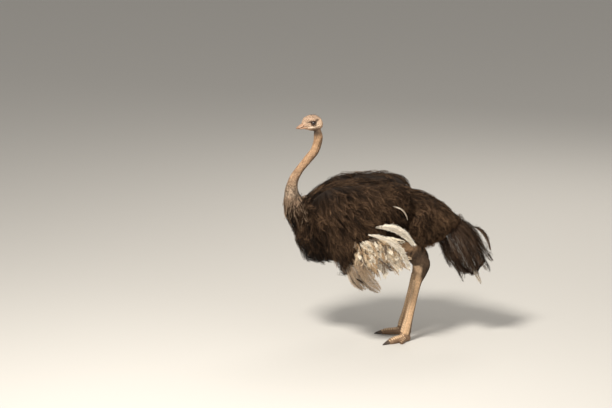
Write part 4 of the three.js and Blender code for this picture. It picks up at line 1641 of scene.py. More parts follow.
def scute_tree():
    """Plates laid one after another along paths, each as wide and deep as the limb there."""
    tree, given, leave = node_group(
        "Scutes",
        [("Spacing", "Float"), ("Overlap", "Float"), ("Seed", "Int"), ("Plate", "Object"),
         ("Material", "Material")],
    )
    curve = add_node(tree, "GeometryNodeMeshToCurve", {"Mesh": given["Geometry"]})
    even = add_node(
        tree, "GeometryNodeResampleCurve", {"Curve": curve.outputs["Curve"]}
    )
    mode = even.inputs.get("Mode")
    if mode is not None:
        mode.default_value = "Length"
    else:
        even.mode = "LENGTH"
    tree.links.new(given["Spacing"], even.inputs["Length"])
    outward = attribute_of(tree, "outward", "FLOAT_VECTOR").outputs["Attribute"]
    tangent = tree.nodes.new("GeometryNodeInputTangent").outputs["Tangent"]
    upright = aligned(tree, "Z", outward)
    turned = aligned(tree, "X", tangent, upright, "Z")
    limb = attribute_of(tree, "limb", "FLOAT_VECTOR").outputs["Attribute"]
    long = product(tree, given["Spacing"], given["Overlap"])
    parts = add_node(tree, "ShaderNodeSeparateXYZ", {"Vector": limb})
    varied = random_node(tree, 0.985, 1.02, given["Seed"])
    scale = add_node(
        tree,
        "ShaderNodeCombineXYZ",
        {"X": long, "Y": parts.outputs["Y"], "Z": parts.outputs["Z"]},
    )
    scaled = add_node(
        tree, "ShaderNodeVectorMath", {0: scale.outputs["Vector"], "Scale": varied}, operation="SCALE"
    ).outputs["Vector"]
    real = real_copies(tree, given["Plate"], even.outputs["Curve"], turned, scaled)
    return closed_tree(tree, real, given, leave)


def plate_object():
    """One scute of unit length along +X, wrapped about the X axis, domed and with a free lower lip."""
    rows, columns = 9, 17
    f = np.linspace(-1, 1, rows)[:, None]
    g = np.linspace(-1, 1, columns)[None, :]
    reach = math.radians(62)
    edge = (np.abs(f) ** 5 + np.abs(g) ** 5) ** (1 / 5)
    squeeze = 1 / np.maximum(edge / np.maximum(np.maximum(np.abs(f), np.abs(g)), 1e-6), 1)
    x, turn = 0.5 * f * squeeze, g * squeeze * reach
    rim = np.clip(1 - np.maximum(np.abs(f), np.abs(g)) ** 4, 0, 1)
    radius = 0.955 + 0.07 * rim**0.35 + 0.012 * (f + 1) * rim
    grid = np.stack(np.broadcast_arrays(x, radius * np.sin(turn), radius * np.cos(turn)), -1)
    points = grid.reshape(-1, 3)
    r, c = np.meshgrid(np.arange(rows - 1), np.arange(columns - 1), indexing="ij")
    here = (r * columns + c).ravel()
    faces = np.stack([here, here + columns, here + columns + 1, here + 1], -1)
    a, b, d = points[faces[:, 0]], points[faces[:, 1]], points[faces[:, 2]]
    if (np.cross(b - a, d - a) * (a * [0, 1, 1])).sum() < 0:
        faces = faces[:, ::-1]
    mesh = bpy.data.meshes.new("plate")
    mesh.from_pydata([tuple(p) for p in points], [], faces.tolist())
    mesh.polygons.foreach_set("use_smooth", np.ones(len(faces), bool))
    # painted shade: darker towards each plate's rim and down its middle, which lies along the front edge of
    # the shank
    shade = (0.5 + 0.5 * rim**0.7) * (1 - 0.4 * bell(g / 0.3))
    tone = np.array(settings()[1].scutes) * shade.reshape(-1, 1)
    give_tone(mesh, tone)
    return add_object("plate", mesh)


def rails(surface, t, one, other):
    """The surface's lines at two angles round it."""
    return surface(t, one + 0 * t, 0), surface(t, other + 0 * t, 0)


def scute_paths():
    """The middle lines of the shanks and toes as a mesh of edges, with the limb's size and its upper side."""
    points, edges, limb, outward = [], [], [], []

    def add(line, wide, deep, up):
        first = sum(len(p) for p in points)
        points.append(line)
        limb.append(np.stack([0 * wide, wide, deep], -1) * MM)
        outward.append(up)
        k = np.arange(len(line) - 1) + first
        edges.append(np.stack([k, k + 1], -1))

    for side in SIDES:
        t = np.linspace(6.9, 10.55, 60)
        leg = leg_surface(side)
        front, back_side = rails(leg, t, math.pi, 0)
        left, right = rails(leg, t, math.pi / 2, -math.pi / 2)
        forwards = unit(front - back_side)
        if forwards[0, 0] > 0:
            forwards = -forwards
        add((front + back_side) / 2, np.linalg.norm(left - right, axis=-1) / 2,
            np.linalg.norm(front - back_side, axis=-1) / 2, forwards)
        for table, turned, start, stop in ((GREAT_TOE, 0, 1.5, 5.35), (OUTER_TOE, TOE_SPREAD, 1.0, 3.5)):
            t = np.linspace(start, stop, 40)
            toe = toe_surface(side, table, turned)
            top, under = rails(toe, t, math.pi / 2, -math.pi / 2)
            left, right = rails(toe, t, 0, math.pi)
            add((top + under) / 2, np.linalg.norm(left - right, axis=-1) * 0.48,
                np.linalg.norm(top - under, axis=-1) * 0.48, unit(top - under))
    mesh = bpy.data.meshes.new("scute_paths")
    mesh.from_pydata([tuple(p) for p in to_frame(np.concatenate(points))],
                     [tuple(e) for e in np.concatenate(edges)], [])
    give(mesh, "limb", "FLOAT_VECTOR", np.concatenate(limb))
    give(mesh, "outward", "FLOAT_VECTOR", np.concatenate(outward))
    return add_object("scute_paths", mesh)


def discard(*pieces):
    for piece in pieces:
        mesh = piece.data
        bpy.data.objects.remove(piece)
        bpy.data.meshes.remove(mesh)


# ------------------------------------------------------------------ laying out the coat
TAIL_TIPS = [(404, 176, 46), (436, 132, -62), (446, 46, 20), (424, -56, -40), (344, -108, 44)]


def skin_tree():
    """The skin as a tree to look up the nearest place, in millimetres of the measuring frame."""
    mesh = bpy.data.objects["skin"].data
    loops = np.zeros(len(mesh.loops), np.int32)
    mesh.loops.foreach_get("vertex_index", loops)
    starts = np.zeros(len(mesh.polygons), np.int32)
    mesh.polygons.foreach_get("loop_start", starts)
    faces = [f.tolist() for f in np.split(loops, starts[1:])]
    return bvhtree.BVHTree.FromPolygons([tuple(p) for p in read_points(mesh)], faces)


def station_at(table, x):
    """The place on a table whose stations run along +X, for each x."""
    t = np.linspace(0, len(table["x"]) - 1, 400)
    return np.interp(x, along(table, "x", t), t)


def in_wing(points, margin):
    """True inside either wing's form, drawn in by the margin."""
    inside = np.zeros(len(points), bool)
    t = station_at(WING, points[:, 0])
    top, foot = along(WING, "top", t), along(WING, "foot", t)
    high = np.maximum((top - foot) / 2 - margin, 1)
    thick = np.maximum(along(WING, "thick", t) - margin, 1)
    up = (points[:, 2] - (top + foot) / 2) / high
    lean = np.where(up > 0, along(WING, "topIn", t), along(WING, "footIn", t))
    middle = along(WING, "out", t) - lean * np.clip(up, -1, 1) ** 2
    for side in SIDES:
        across = (side * points[:, 1] - middle) / thick
        inside |= up**2 + across**2 < 1
        inside |= (across < 0) & (across > -1.35) & (np.abs(up) < 0.92)
    within = (points[:, 0] > WING["x"][0]) & (points[:, 0] < WING["x"][-1])
    return inside & within


def near_line(points, line, radii):
    """True where a point is nearer to a line than that line's radius there."""
    gap = np.linalg.norm(points[:, None] - line[None], axis=-1)
    return (gap < radii[None]).any(1)


def in_neck_root(points, margin):
    t = np.linspace(6.5, NECK_END, 40)
    line = neck_line(t)
    return near_line(points, line, (along(NECK, "r", t) - margin) * 0.93)


def in_thigh(points, grow):
    t = np.linspace(0.0, 4.5, 40)
    found = np.zeros(len(points), bool)
    for side in SIDES:
        line = stack(along(LEG, "x", t), side * along(LEG, "y", t), along(LEG, "z", t))
        found |= near_line(points, line, along(LEG, "wide", t) + grow)
    return found


def black_tones(points, rng, own, brown=0.0):
    """Root and tip colours for plumes at these places: near black, with brown streaks lock by lock, and roots
    darkened further as painted shade deep in the coat.
    """
    colours = settings()[1]
    dark, light = np.array(colours.plumage), np.array(colours.plumage_tip)
    lot = rng.uniform(0, 1, own.max() + 1)[own]
    worn = 0.42 * lot**1.6 + 0.62 * rng.uniform(0, 1, len(points)) ** 2.4 + 0.1 * ripple(points, 190, 21)
    worn = np.clip(worn + brown, 0, 1)
    # the roots, at under half the plumage colour, are painted shade deep in the coat
    tones = mixed(np.broadcast_to(dark, points.shape) * 0.45, light, 0.12 * worn)
    tips = mixed(np.broadcast_to(dark, points.shape), light, worn)
    return tones, tips


def body_bed(skin, rng, surface, last, depth, count, span_t, span_a, heading, middle, keep,
             strip=0, of=1, long=1.0, wide=1.0, rise=31.0, sag=8.0, brown=0.0, curl=9.0):
    """A bed of black plumes rooted on one surface of the skin."""
    body = settings()[0]
    t, a, here, normal = scattered(
        surface, last, depth, count, int(rng.integers(1 << 30)), span_t, span_a, keep
    )
    normal = outwards(here, normal, middle(here))
    n = len(here)
    lengths = body.plume_length / MM * long * rng.uniform(0.72, 1.22, n)
    rises = rise(here) if callable(rise) else rise
    rises = rises * rng.uniform(0.5, 1.1, n) * (1 + 0.25 * ripple(here, 110, 5))
    flow = heading(here, t)
    aside = np.cross(normal, unit(flow))
    flow = unit(flow) + aside * 0.55 * ripple(here, 170, 6)[:, None]
    spines, ups = combed(
        skin, here, normal, flow, lengths, rises, sag * rng.uniform(0.3, 1.6, n), rng, steps=7
    )
    spines, ups, own = locked(spines, ups, rng, curl=curl)
    halves = body.plume_half / MM * wide * rng.uniform(0.75, 1.25, n)
    tones, tips = black_tones(here, rng, own, brown)
    return bed_of(spines, ups, halves, tones, tips, strip_patch(t, a, last, strip, of))


def trunk_middle(points):
    middle = points.copy()
    middle[:, 1] = 0
    middle[:, 2] = 840
    return middle


def straight(way):
    """A heading that is the same everywhere."""
    return lambda points, t: np.broadcast_to(way, points.shape)


def trunk_bed(skin, rng, count, span_t, span_a, way, keep, **options):
    return body_bed(skin, rng, trunk_surface, TRUNK_END, COAT_DEPTH, count, span_t, span_a,
                    straight(way), trunk_middle, keep, **options)


BLADE_STOPS = 9  # places along the quill of a long plume
COAT_BARBS, WHITE_BARBS, TAIL_BARBS = 14, 34, 26  # on each side of a plume's quill


def blade_bed(rng, root, bend, tip, across, wide, thick, count, half, colours, patch, spread=0.55, curl=18.0):
    """A bunch of long plumes that fans out along one bent line, as wide and thick as its blade."""
    root, bend, tip = (np.array(place, float) for place in (root, bend, tip))
    f = np.linspace(0, 1, BLADE_STOPS)[None, :, None]
    n = count
    aside = rng.uniform(-1, 1, (n, 1, 1))
    deep = rng.uniform(-1, 1, (n, 1, 1))
    reach = rng.uniform(0.62, 1.0, (n, 1, 1)) ** 0.8
    start = rng.uniform(0.0, 0.30, (n, 1, 1))
    f = start + (reach - start * 0.4) * f
    f = np.clip(f, 0, 1.0)
    line = root * (1 - f) ** 2 + bend * 2 * f * (1 - f) + tip * f**2
    ahead = unit(2 * (bend - root) * (1 - f) + 2 * (tip - bend) * f)
    flat = unit(across - ahead * (ahead @ across)[..., None])
    through = np.cross(ahead, flat)
    body = np.sin(math.pi * np.clip(f * 0.84 + 0.10, 0, 1) ** 1.3) ** 0.6
    fan = (spread + (1 - spread) * f) * body
    wave = curl * np.sin(f * rng.uniform(1.5, 4.5, (n, 1, 1)) + rng.uniform(0, TURN, (n, 1, 1)))
    line = line + flat * ((wide / 2 - half * 0.45) * aside * fan + wave * 0.45 * f)
    line = line + through * ((thick / 2 - 4) * deep * body + 0.25 * wave * f)
    turn = rng.uniform(-0.9, 0.9, (n, 1, 1)) + 0.6 * rng.normal(size=(n, 1, 1)) * f
    ups = through * np.cos(turn) + flat * np.sin(turn)
    halves = half * rng.uniform(0.7, 1.2, n)
    line, ups, _ = locked(line, unit(ups), rng, share=0.35, pull=0.45, curl=curl * 0.4, lift=curl * 0.25)
    tones, tips = colours(n, rng)
    patches = np.array(patch) + rng.uniform(-1, 1, (n, 2)) * [0.06, 0.02]
    return bed_of(line, ups, halves, tones, tips, patches)


def white_tones(soiling):
    def colours(n, rng):
        palette = settings()[1]
        clean, dirty = np.array(palette.white), np.array(palette.soiled)
        dust = np.clip(soiling + 0.22 * rng.normal(size=n), 0, 1)
        roots = mixed(np.broadcast_to(clean, (n, 3)), dirty, np.clip(dust + 0.12, 0, 1))
        return roots, mixed(np.broadcast_to(clean, (n, 3)), dirty, dust * 0.8)

    return colours


def tail_tones(brown):
    def colours(n, rng):
        worn = np.clip(brown + 0.25 * rng.normal(size=n), 0, 1)
        dark, light = linear((36, 26, 20)), linear((128, 102, 82))
        roots = mixed(np.broadcast_to(dark, (n, 3)), light, worn * 0.5)
        return roots, mixed(np.broadcast_to(dark, (n, 3)), light, worn)

    return colours


def grey_tones(n, rng):
    """Dusty grey wing tips, with a few dark plumes among them."""
    lot = rng.uniform(0, 1, n)
    tones = mixed(even_tone((190, 164, 134), (n, 3)), linear((134, 110, 87)), lot)
    tones[lot > 0.88] = linear((48, 38, 32))
    return tones, mixed(tones, linear((190, 174, 156)), 0.5)


# Each bunch of wing plumes: where its middle line starts, bends and ends (along the body and up), how
# far out it lies, how wide it is, how many plumes it has and their colours.
PLUME_BLADES = [
    ((-222, 862), (-54, 902), (38, 750), 366, 74, 36, white_tones(0.02)),
    ((-268, 818), (-36, 796), (8, 596), 380, 50, 38, white_tones(0.0)),
    ((-310, 776), (-120, 736), (-40, 580), 344, 110, 16, white_tones(0.5)),
    ((-340, 716), (-220, 650), (-140, 540), 337, 124, 16, white_tones(0.45)),
    ((-370, 666), (-300, 510), (-190, 414), 329, 130, 34, grey_tones),
    ((-400, 620), (-372, 480), (-290, 424), 320, 92, 24, grey_tones),
]
FLUFF_SHADES = [(238, 226, 206), (214, 190, 158), (168, 136, 100), (84, 64, 48)]


def fluff_bed(rng, side, count):
    """Short mottled plumes over the fan of the wing's underside, each row lapping over the next."""
    across_fan, down_fan = rng.uniform(0, 1, (2, count))
    start = np.array([-372.0, 776]) + across_fan[:, None] * [262.0, 40]
    stop = np.array([-330.0, 560]) + across_fan[:, None] * [282.0, 60]
    root = start + (stop - start) * (down_fan**0.9)[:, None]
    slope = np.radians(-56 + 34 * across_fan - 8 * down_fan + 24 * rng.normal(size=count))
    long = rng.uniform(45, 115, count)
    f = np.linspace(0, 1, BLADE_STOPS)[None]
    turn = slope[:, None] - 0.5 * f * rng.uniform(0, 1.4, (count, 1))
    x = root[:, :1] + np.cumsum(np.cos(turn) * long[:, None], 1) / BLADE_STOPS
    z = root[:, 1:] + np.cumsum(np.sin(turn) * long[:, None], 1) / BLADE_STOPS
    out = 368 - 56 * down_fan[:, None] - 24 * (1 - across_fan[:, None])
    y = side * (out + 10 * np.sin(math.pi * f) + 9 * rng.normal(size=(count, 1)) - 14 * (1 - f))
    spines = np.stack([x, y, z], -1)
    ups = np.broadcast_to([0.0, side, 0.0], spines.shape) + 0.35 * rng.normal(size=(count, 1, 3))
    spines, ups, own = locked(spines, unit(ups), rng, share=0.4, pull=0.6, curl=12.0, lift=8.0)
    lot = rng.choice(len(FLUFF_SHADES), own.max() + 1, p=[0.34, 0.3, 0.22, 0.14])[own]
    tones = linear(FLUFF_SHADES)[lot]
    patches = np.stack([0.1 + 0.8 * across_fan, 0.1 + 0.8 * down_fan], -1)
    return bed_of(spines, ups, 13 * rng.uniform(0.7, 1.4, count), tones,
                  mixed(tones, linear((236, 222, 200)), 0.25), patches)


# ------------------------------------------------------------------ operators
SKIN_NODES = [
    "head", "neck_upper", "neck_middle", "neck_lower", "ear_left", "ear_right", "breast", "back",
    "trunk", "rump", "thigh_left", "thigh_right", "shank_left", "shank_right", "toe_great_left",
    "toe_great_right", "toe_outer_left", "toe_outer_right", "wing_left", "wing_right",
]


class OSTRICH_OT_skin(bpy.types.Operator):
    """Model the one skin of head, neck, body, wings and legs"""

    bl_idname = "ostrich.skin"
    bl_label = "Skin"

    def execute(self, context):
        piece = build_skin()
        finish(piece, skin_material(), SKIN_NODES)
        return {"FINISHED"}


class OSTRICH_OT_eyes(bpy.types.Operator):
    """Set the eyeballs in the head, with their lids and lashes"""

    bl_idname = "ostrich.eyes"
    bl_label = "Eyes and lids"

    def execute(self, context):
        wet, lid_skin = eye_material(), skin_material()
        lashes = []
        for side, name in SIDES.items():
            points, quads, caps, tone = eyeball(side)
            eye = toned_lofts("eyeball_" + name, [(from_head(points), quads, caps, tone)])
            finish(eye, wet, ["eye_" + name])
        lids = []
        for side in SIDES:
            points, quads, caps, tone = eyelids(side)
            lids.append((from_head(points), quads, caps, tone))
            lashes.append(lash_bed(side))
        lids = toned_lofts("eyelids", lids)
        finish(lids, lid_skin)
        piece = strands("lashes", lashes, 0.32)
        finish(piece, plumage_material("Lashes", 0.5, 0.05))
        return {"FINISHED"}


class OSTRICH_OT_bill(bpy.types.Operator):
    """Shape the upper and lower bill, with the nostrils and the nail"""

    bl_idname = "ostrich.bill"
    bl_label = "Bill"

    def execute(self, context):
        horn = horn_material("Bill horn", 0.42, 60.0, (1, 1, 2))
        for name, table, upper in (("upper", UPPER_BILL, True), ("lower", LOWER_BILL, False)):
            piece = toned_lofts("bill_horn_" + name, [bill_arrays(table, 5, upper)])
            finish(piece, horn, ["bill_" + name])
        return {"FINISHED"}


class OSTRICH_OT_claws(bpy.types.Operator):
    """Shape the claw of each great toe"""

    bl_idname = "ostrich.claws"
    bl_label = "Claws"

    def execute(self, context):
        horn = horn_material("Claw horn", 0.36, 80.0, (1, 1, 1))
        for side, name in SIDES.items():
            piece = toned_lofts("claw_horn_" + name, [claw_arrays(side)])
            finish(piece, horn, ["claw_" + name])
        return {"FINISHED"}


class OSTRICH_OT_scutes(bpy.types.Operator):
    """Lay the broad plates down the shanks and over the toes"""

    bl_idname = "ostrich.scutes"
    bl_label = "Scutes"

    def execute(self, context):
        horn = horn_material("Scute horn", 0.46, 70.0, (1, 1, 1))
        plate, path = plate_object(), scute_paths()
        values = {
            "Spacing": 15.5 * MM, "Overlap": 1.08, "Seed": settings()[0].seed,
            "Plate": plate, "Material": horn,
        }
        piece = grown(path, scute_tree(), values, "scutes")
        discard(plate, path)
        finish(piece, None)
        return {"FINISHED"}


class OSTRICH_OT_down(bpy.types.Operator):
    """Grow the down of the neck and the fine bristles of the head"""

    bl_idname = "ostrich.down"
    bl_label = "Down"

    def execute(self, context):
        body = settings()[0]
        tuft = tuft_object()
        values = {
            "Density": body.down_density, "Length": body.down_length, "Seed": body.seed,
            "Tuft": tuft, "Material": plumage_material("Down", 0.8, 0.1),
        }
        piece = grown(bpy.data.objects["skin"], down_tree(), values, "coat_down")
        discard(tuft)
        shade_down(piece)
        finish(piece, None)
        rng = np.random.default_rng(body.seed + 40)
        crown = strands("crown_tuft", [crown_bed(rng)], 0.5)
        finish(crown, plumage_material("Crown bristles", 0.6, 0.1))
        return {"FINISHED"}


class OSTRICH_OT_body_plumage(bpy.types.Operator):
    """Cover the breast, back, flanks and rump with black plumes"""

    bl_idname = "ostrich.body_plumage"
    bl_label = "Body plumage"

    def execute(self, context):
        body = settings()[0]
        black = plumage_material("Black plumes", 0.68, 0.0)
        skin = skin_tree()
        strand = body.strand / MM

        def clear(here, t, a):
            return ~(in_wing(here, 26) | in_neck_root(here, 26) | in_thigh(here, 6))

        rng = np.random.default_rng(body.seed)
        # brown below zero darkens the breast's plumes: painted shade of the underside
        breast = trunk_bed(
            skin, rng, 1480, (0.5, 5.0), (0, TURN), [0.42, 0, -1.0],
            lambda p, t, a: clear(p, t, a) & ~((np.sin(a) > 0.2) & (t > 3.6)),
            strip=0, of=2, brown=-0.3,
        )
        foot = body_bed(
            skin, rng, neck_surface, NECK_END, neck_depth, 1130, (6.2, 8.9), (0, TURN),
            lambda p, t: neck_heading(t), neck_middle,
            lambda p, t, a: ~in_wing(p, 20), strip=1, of=2, long=0.85, wide=0.8, rise=30.0, brown=-0.1,
        )
        shorten(foot, 0.34)
        height = foot["spines"][:, 0, 2]
        speckled = rng.uniform(0, 1, len(height)) < 0.8 * smooth_step(height, 880, 1020)
        for key in ("tones", "tips"):
            foot[key] = mixed(foot[key], linear((158, 134, 112)), 0.85 * speckled)
        piece = plumage("coat_breast", [breast, foot], body.seed + 1, COAT_BARBS, strand)
        finish(piece, black)

        back = trunk_bed(
            skin, rng, 1620, (2.6, 8.8), (0.1 * math.pi, 0.9 * math.pi), [1.0, 0, -0.3], clear,
            long=1.15, sag=4.0, rise=lambda p: 28 + 16 * smooth_step(-p[:, 0], 20, 110), brown=-0.04,
        )
        # brown below zero darkens the belly's plumes: painted shade of the underside
        belly = trunk_bed(
            skin, rng, 600, (3.6, 8.2), (1.1 * math.pi, 1.9 * math.pi), [1.0, 0, -0.25],
            lambda p, t, a: ~(in_wing(p, 26) | in_thigh(p, 14)), long=0.8, rise=22.0, brown=-0.2,
        )
        piece = plumage("coat_back", [back, belly], body.seed + 2, COAT_BARBS, strand)
        finish(piece, black)

        rump = trunk_bed(
            skin, rng, 2250, (7.6, 12.7), (0, TURN), [1.0, 0, -0.55],
            lambda p, t, a: ~(in_wing(p, 30) | in_thigh(p, 8)), long=1.0, sag=12.0, rise=24.0, brown=0.2,
        )
        place = rump["spines"][:, 0]
        beneath = smooth_step(-place[:, 2], -770, -690) * smooth_step(-place[:, 0], -260, -160)
        for key in ("tones", "tips"):
            rump[key] = mixed(rump[key], linear((134, 100, 68)), 0.6 * beneath)
        piece = plumage("coat_rump", [rump], body.seed + 3, COAT_BARBS, strand)
        finish(piece, black)
        return {"FINISHED"}


class OSTRICH_OT_wing_plumage(bpy.types.Operator):
    """Cover both wings with black coverts"""

    bl_idname = "ostrich.wing_plumage"
    bl_label = "Wing coverts"

    def execute(self, context):
        body = settings()[0]
        black = plumage_material("Wing coverts", 0.66, 0.0)
        skin = skin_tree()
        for side, name in SIDES.items():
            rng = np.random.default_rng(body.seed + 60 + side)

            def heading(p, t):
                away = unit((p - [-640, side * 200, 1150]) * [1, 0, 1])
                return away + [0.5, 0, -0.25]

            def middle(p):
                return np.stack([p[:, 0], 0 * p[:, 1] + side * 180, 0 * p[:, 2] + 880], -1)

            def core(p):
                return np.stack([p[:, 0] + 30, 0 * p[:, 1] + side * 310, p[:, 2]], -1)

            def rise(p):
                shoulder = bell((p[:, 0] + 490) / 95) * smooth_step(p[:, 2], 900, 990)
                return 29 + 30 * shoulder * rng.uniform(-0.2, 1, len(p))

            outer = body_bed(
                skin, rng, wing_surface(side), WING_END, COVERT_DEPTH, 1800, (0.3, 9.7),
                (-0.46 * math.pi, 0.62 * math.pi), heading, middle, None,
                long=1.12, wide=1.05, sag=9.0, rise=rise, curl=11.0,
            )
            inner = body_bed(
                skin, rng, wing_flesh(side), WING_END, COVERT_DEPTH, 130, (0.2, 5.0),
                (0.58 * math.pi, 1.1 * math.pi), heading, core, None, wide=1.4, rise=20.0, brown=-0.2,
            )
            front = body_bed(
                skin, rng, wing_flesh(side), WING_END, COVERT_DEPTH, 190, (0.02, 0.5),
                (0.2 * math.pi, 1.1 * math.pi), straight([-0.2, -side * 0.35, -1.0]), core, None,
                long=1.3, wide=1.4, rise=18.0, brown=-0.15,
            )
            beds = [outer, inner, front]
            piece = plumage("coat_wing_" + name, beds, body.seed + 70 + side, COAT_BARBS, body.strand / MM)
            finish(piece, black)
        return {"FINISHED"}


class OSTRICH_OT_white_plumes(bpy.types.Operator):
    """Hang the white plumes from both wings, with the soiled fluff between them"""

    bl_idname = "ostrich.white_plumes"
    bl_label = "White plumes"

    def execute(self, context):
        body = settings()[0]
        white = plumage_material("White plumes", 0.75, 0.2, (0.86, 1.12))
        upright = np.array([0.0, 0, 1.0])
        for side, name in SIDES.items():
            rng = np.random.default_rng(body.seed + 80 + side)
            beds = []
            for number, (root, bend, tip, out, wide, count, colours) in enumerate(PLUME_BLADES):
                at = [np.array([p[0], side * (out - inward), p[1]]) for p, inward in
                      ((root, 40), (bend, -6), (tip, 22))]
                beds.append(
                    blade_bed(rng, *at, upright, wide=wide, thick=46, count=count, half=24,
                              colours=colours, patch=((number + 0.5) / 7, 0.5), spread=0.8)
                )
            beds.append(fluff_bed(rng, side, 360))
            if side < 0:
                beds.append(
                    blade_bed(rng, [-112.0, -340, 1014], [-14.0, -356, 1018],
                              [4.0, -312, 914], upright, wide=14, thick=6, count=5, half=8.5,
                              colours=white_tones(0.02), patch=(0.97, 0.5), curl=1.0)
                )
                beds.append(
                    blade_bed(rng, [-356.0, -338, 514], [-332.0, -352, 502],
                              [-298.0, -338, 474], upright, wide=14, thick=6, count=5, half=9,
                              colours=tail_tones(0.1), patch=(0.93, 0.5), curl=2.0)
                )
            piece = plumage("white_plumes_" + name, beds, body.seed + 90 + side, WHITE_BARBS, 1.8,
                            spread=42, ragged=0.4, quill=1.1, shades=(0.84, 1.22))
            finish(piece, white, ["wing_upper_plumes_" + name, "wing_lower_plumes_" + name])
        return {"FINISHED"}


class OSTRICH_OT_tail_plumage(bpy.types.Operator):
    """Hang the tail's bush of plumes, its coverts and the plume that stands off"""

    bl_idname = "ostrich.tail_plumage"
    bl_label = "Tail plumage"

    def execute(self, context):
        body = settings()[0]
        rng = np.random.default_rng(body.seed + 100)
        beds = [tail_bed(rng, 640)]
        hang = math.radians(TAIL_HANG)
        ahead = np.array([math.cos(hang), 0, -math.sin(hang)])
        above = np.array([math.sin(hang), 0, math.cos(hang)])
        across = np.array([0.0, 1.0, 0.0])

        def at(far, over, aside):
            return TAIL_ROOT + ahead * far + above * over + across * aside

        for far, over, aside in TAIL_TIPS:
            beds.append(
                blade_bed(rng, at(far - 240, over * 0.5, aside), at(far - 130, over * 0.92, aside * 1.3),
                          at(far, over, aside * 1.5), across, wide=100, thick=62, count=16, half=28,
                          colours=tail_tones(0.3), patch=(0.7, 0.5 + 0.002 * aside))
            )
        beds.append(
            blade_bed(rng, [262.0, 0, 832], [420.0, 0, 858],
                      [544.0, 0, 640], across, wide=236, thick=84, count=84, half=27,
                      colours=tail_tones(0.18), patch=(0.85, 0.5))
        )
        # the broad feather that stands off behind, and the pale down under the tail
        beds.append(
            blade_bed(rng, [452.0, -14, 806], [562.0, -26, 804],
                      [594.0, -34, 652], unit(np.array([0.8, 0, 0.6])), wide=38, thick=12, count=16,
                      half=22, colours=tail_tones(0.42), patch=(0.95, 0.5), spread=0.9, curl=3.0)
        )
        beds.append(
            blade_bed(rng, [452.0, -20, 540], [500.0, -24, 480],
                      [530.0, -20, 396], across, wide=46, thick=40, count=12, half=15,
                      colours=white_tones(0.45), patch=(0.9, 0.4), curl=8.0)
        )
        piece = plumage("coat_tail", beds, body.seed + 101, TAIL_BARBS, 1.6, spread=42, ragged=0.38,
                        quill=0.9)
        nodes = ["tail", "tail_coverts", "tail_loose_plume"]
        finish(piece, plumage_material("Tail plumes", 0.68, 0.0), nodes)
        return {"FINISHED"}


class OSTRICH_OT_stage(bpy.types.Operator):
    """Lay a plain pale floor, soft lights and the camera"""

    bl_idname = "ostrich.stage"
    bl_label = "Stage"

    def execute(self, context):
        floor = bpy.data.meshes.new("floor")
        size = 45.0
        floor.from_pydata(
            [(-size, -size, 0), (size, -size, 0), (size, size, 0), (-size, size, 0)], [], [(0, 1, 2, 3)]
        )
        ground = add_object("floor", floor)
        material, _, shader = new_material("Pale floor", 0.85)
        shader.inputs["Base Color"].default_value = (0.56, 0.545, 0.52, 1)
        dress(ground, material)
        ground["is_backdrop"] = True
        for name, place, aim, power, width in (
            ("key", (-2.2, -4.4, 6.4), (0.1, 0, 0.85), 820, 1.5),
            ("fill", (5.0, -5.6, 2.8), (0.0, 0, 0.8), 80, 5.0),
            ("rim", (2.0, 5.2, 5.0), (0.0, 0, 0.9), 130, 3.5),
        ):
            light = bpy.data.lights.new(name, "AREA")
            light.energy, light.size, light.color = power, width, (1.0, 0.95, 0.87)
            lamp = add_object(name, light)
            lamp.location = place
            lamp.rotation_euler = (Vector(aim) - Vector(place)).to_track_quat("-Z", "Y").to_euler()
        world = bpy.data.worlds.new("studio")
        world.use_nodes = True
        background = world.node_tree.nodes["Background"]
        background.inputs["Color"].default_value = (1.0, 0.965, 0.91, 1)
        background.inputs["Strength"].default_value = 0.40
        context.scene.world = world
        context.scene.view_settings.view_transform = "Standard"
        add_camera(context.scene)
        return {"FINISHED"}


# ------------------------------------------------------------------ helpers of the operators
def neck_heading(t):
    ahead = unit(neck_line(np.minimum(t + 0.05, NECK_END)) - neck_line(t - 0.05))
    fall = np.array([0.25, 0, -1.0])
    return ahead + fall * smooth_step(t, 6.6, 8.4)[:, None]


def neck_middle(points):
    t = np.linspace(0, NECK_END, 200)
    line = neck_line(t)
    nearest = np.linalg.norm(points[:, None] - line[None], axis=-1).argmin(1)
    return line[nearest]


def shorten(bed, least):
    """Shrinks the plumes at the top of the neck's foot, so that the coat thins out into the down."""
    root = bed["spines"][:, :1]
    height = bed["spines"][:, 0, 2]
    share = least + (1 - least) * (1 - smooth_step(height, 940, 1110))
    bed["spines"] = root + (bed["spines"] - root) * share[:, None, None]
    bed["halves"] = bed["halves"] * (0.35 + 0.65 * share)


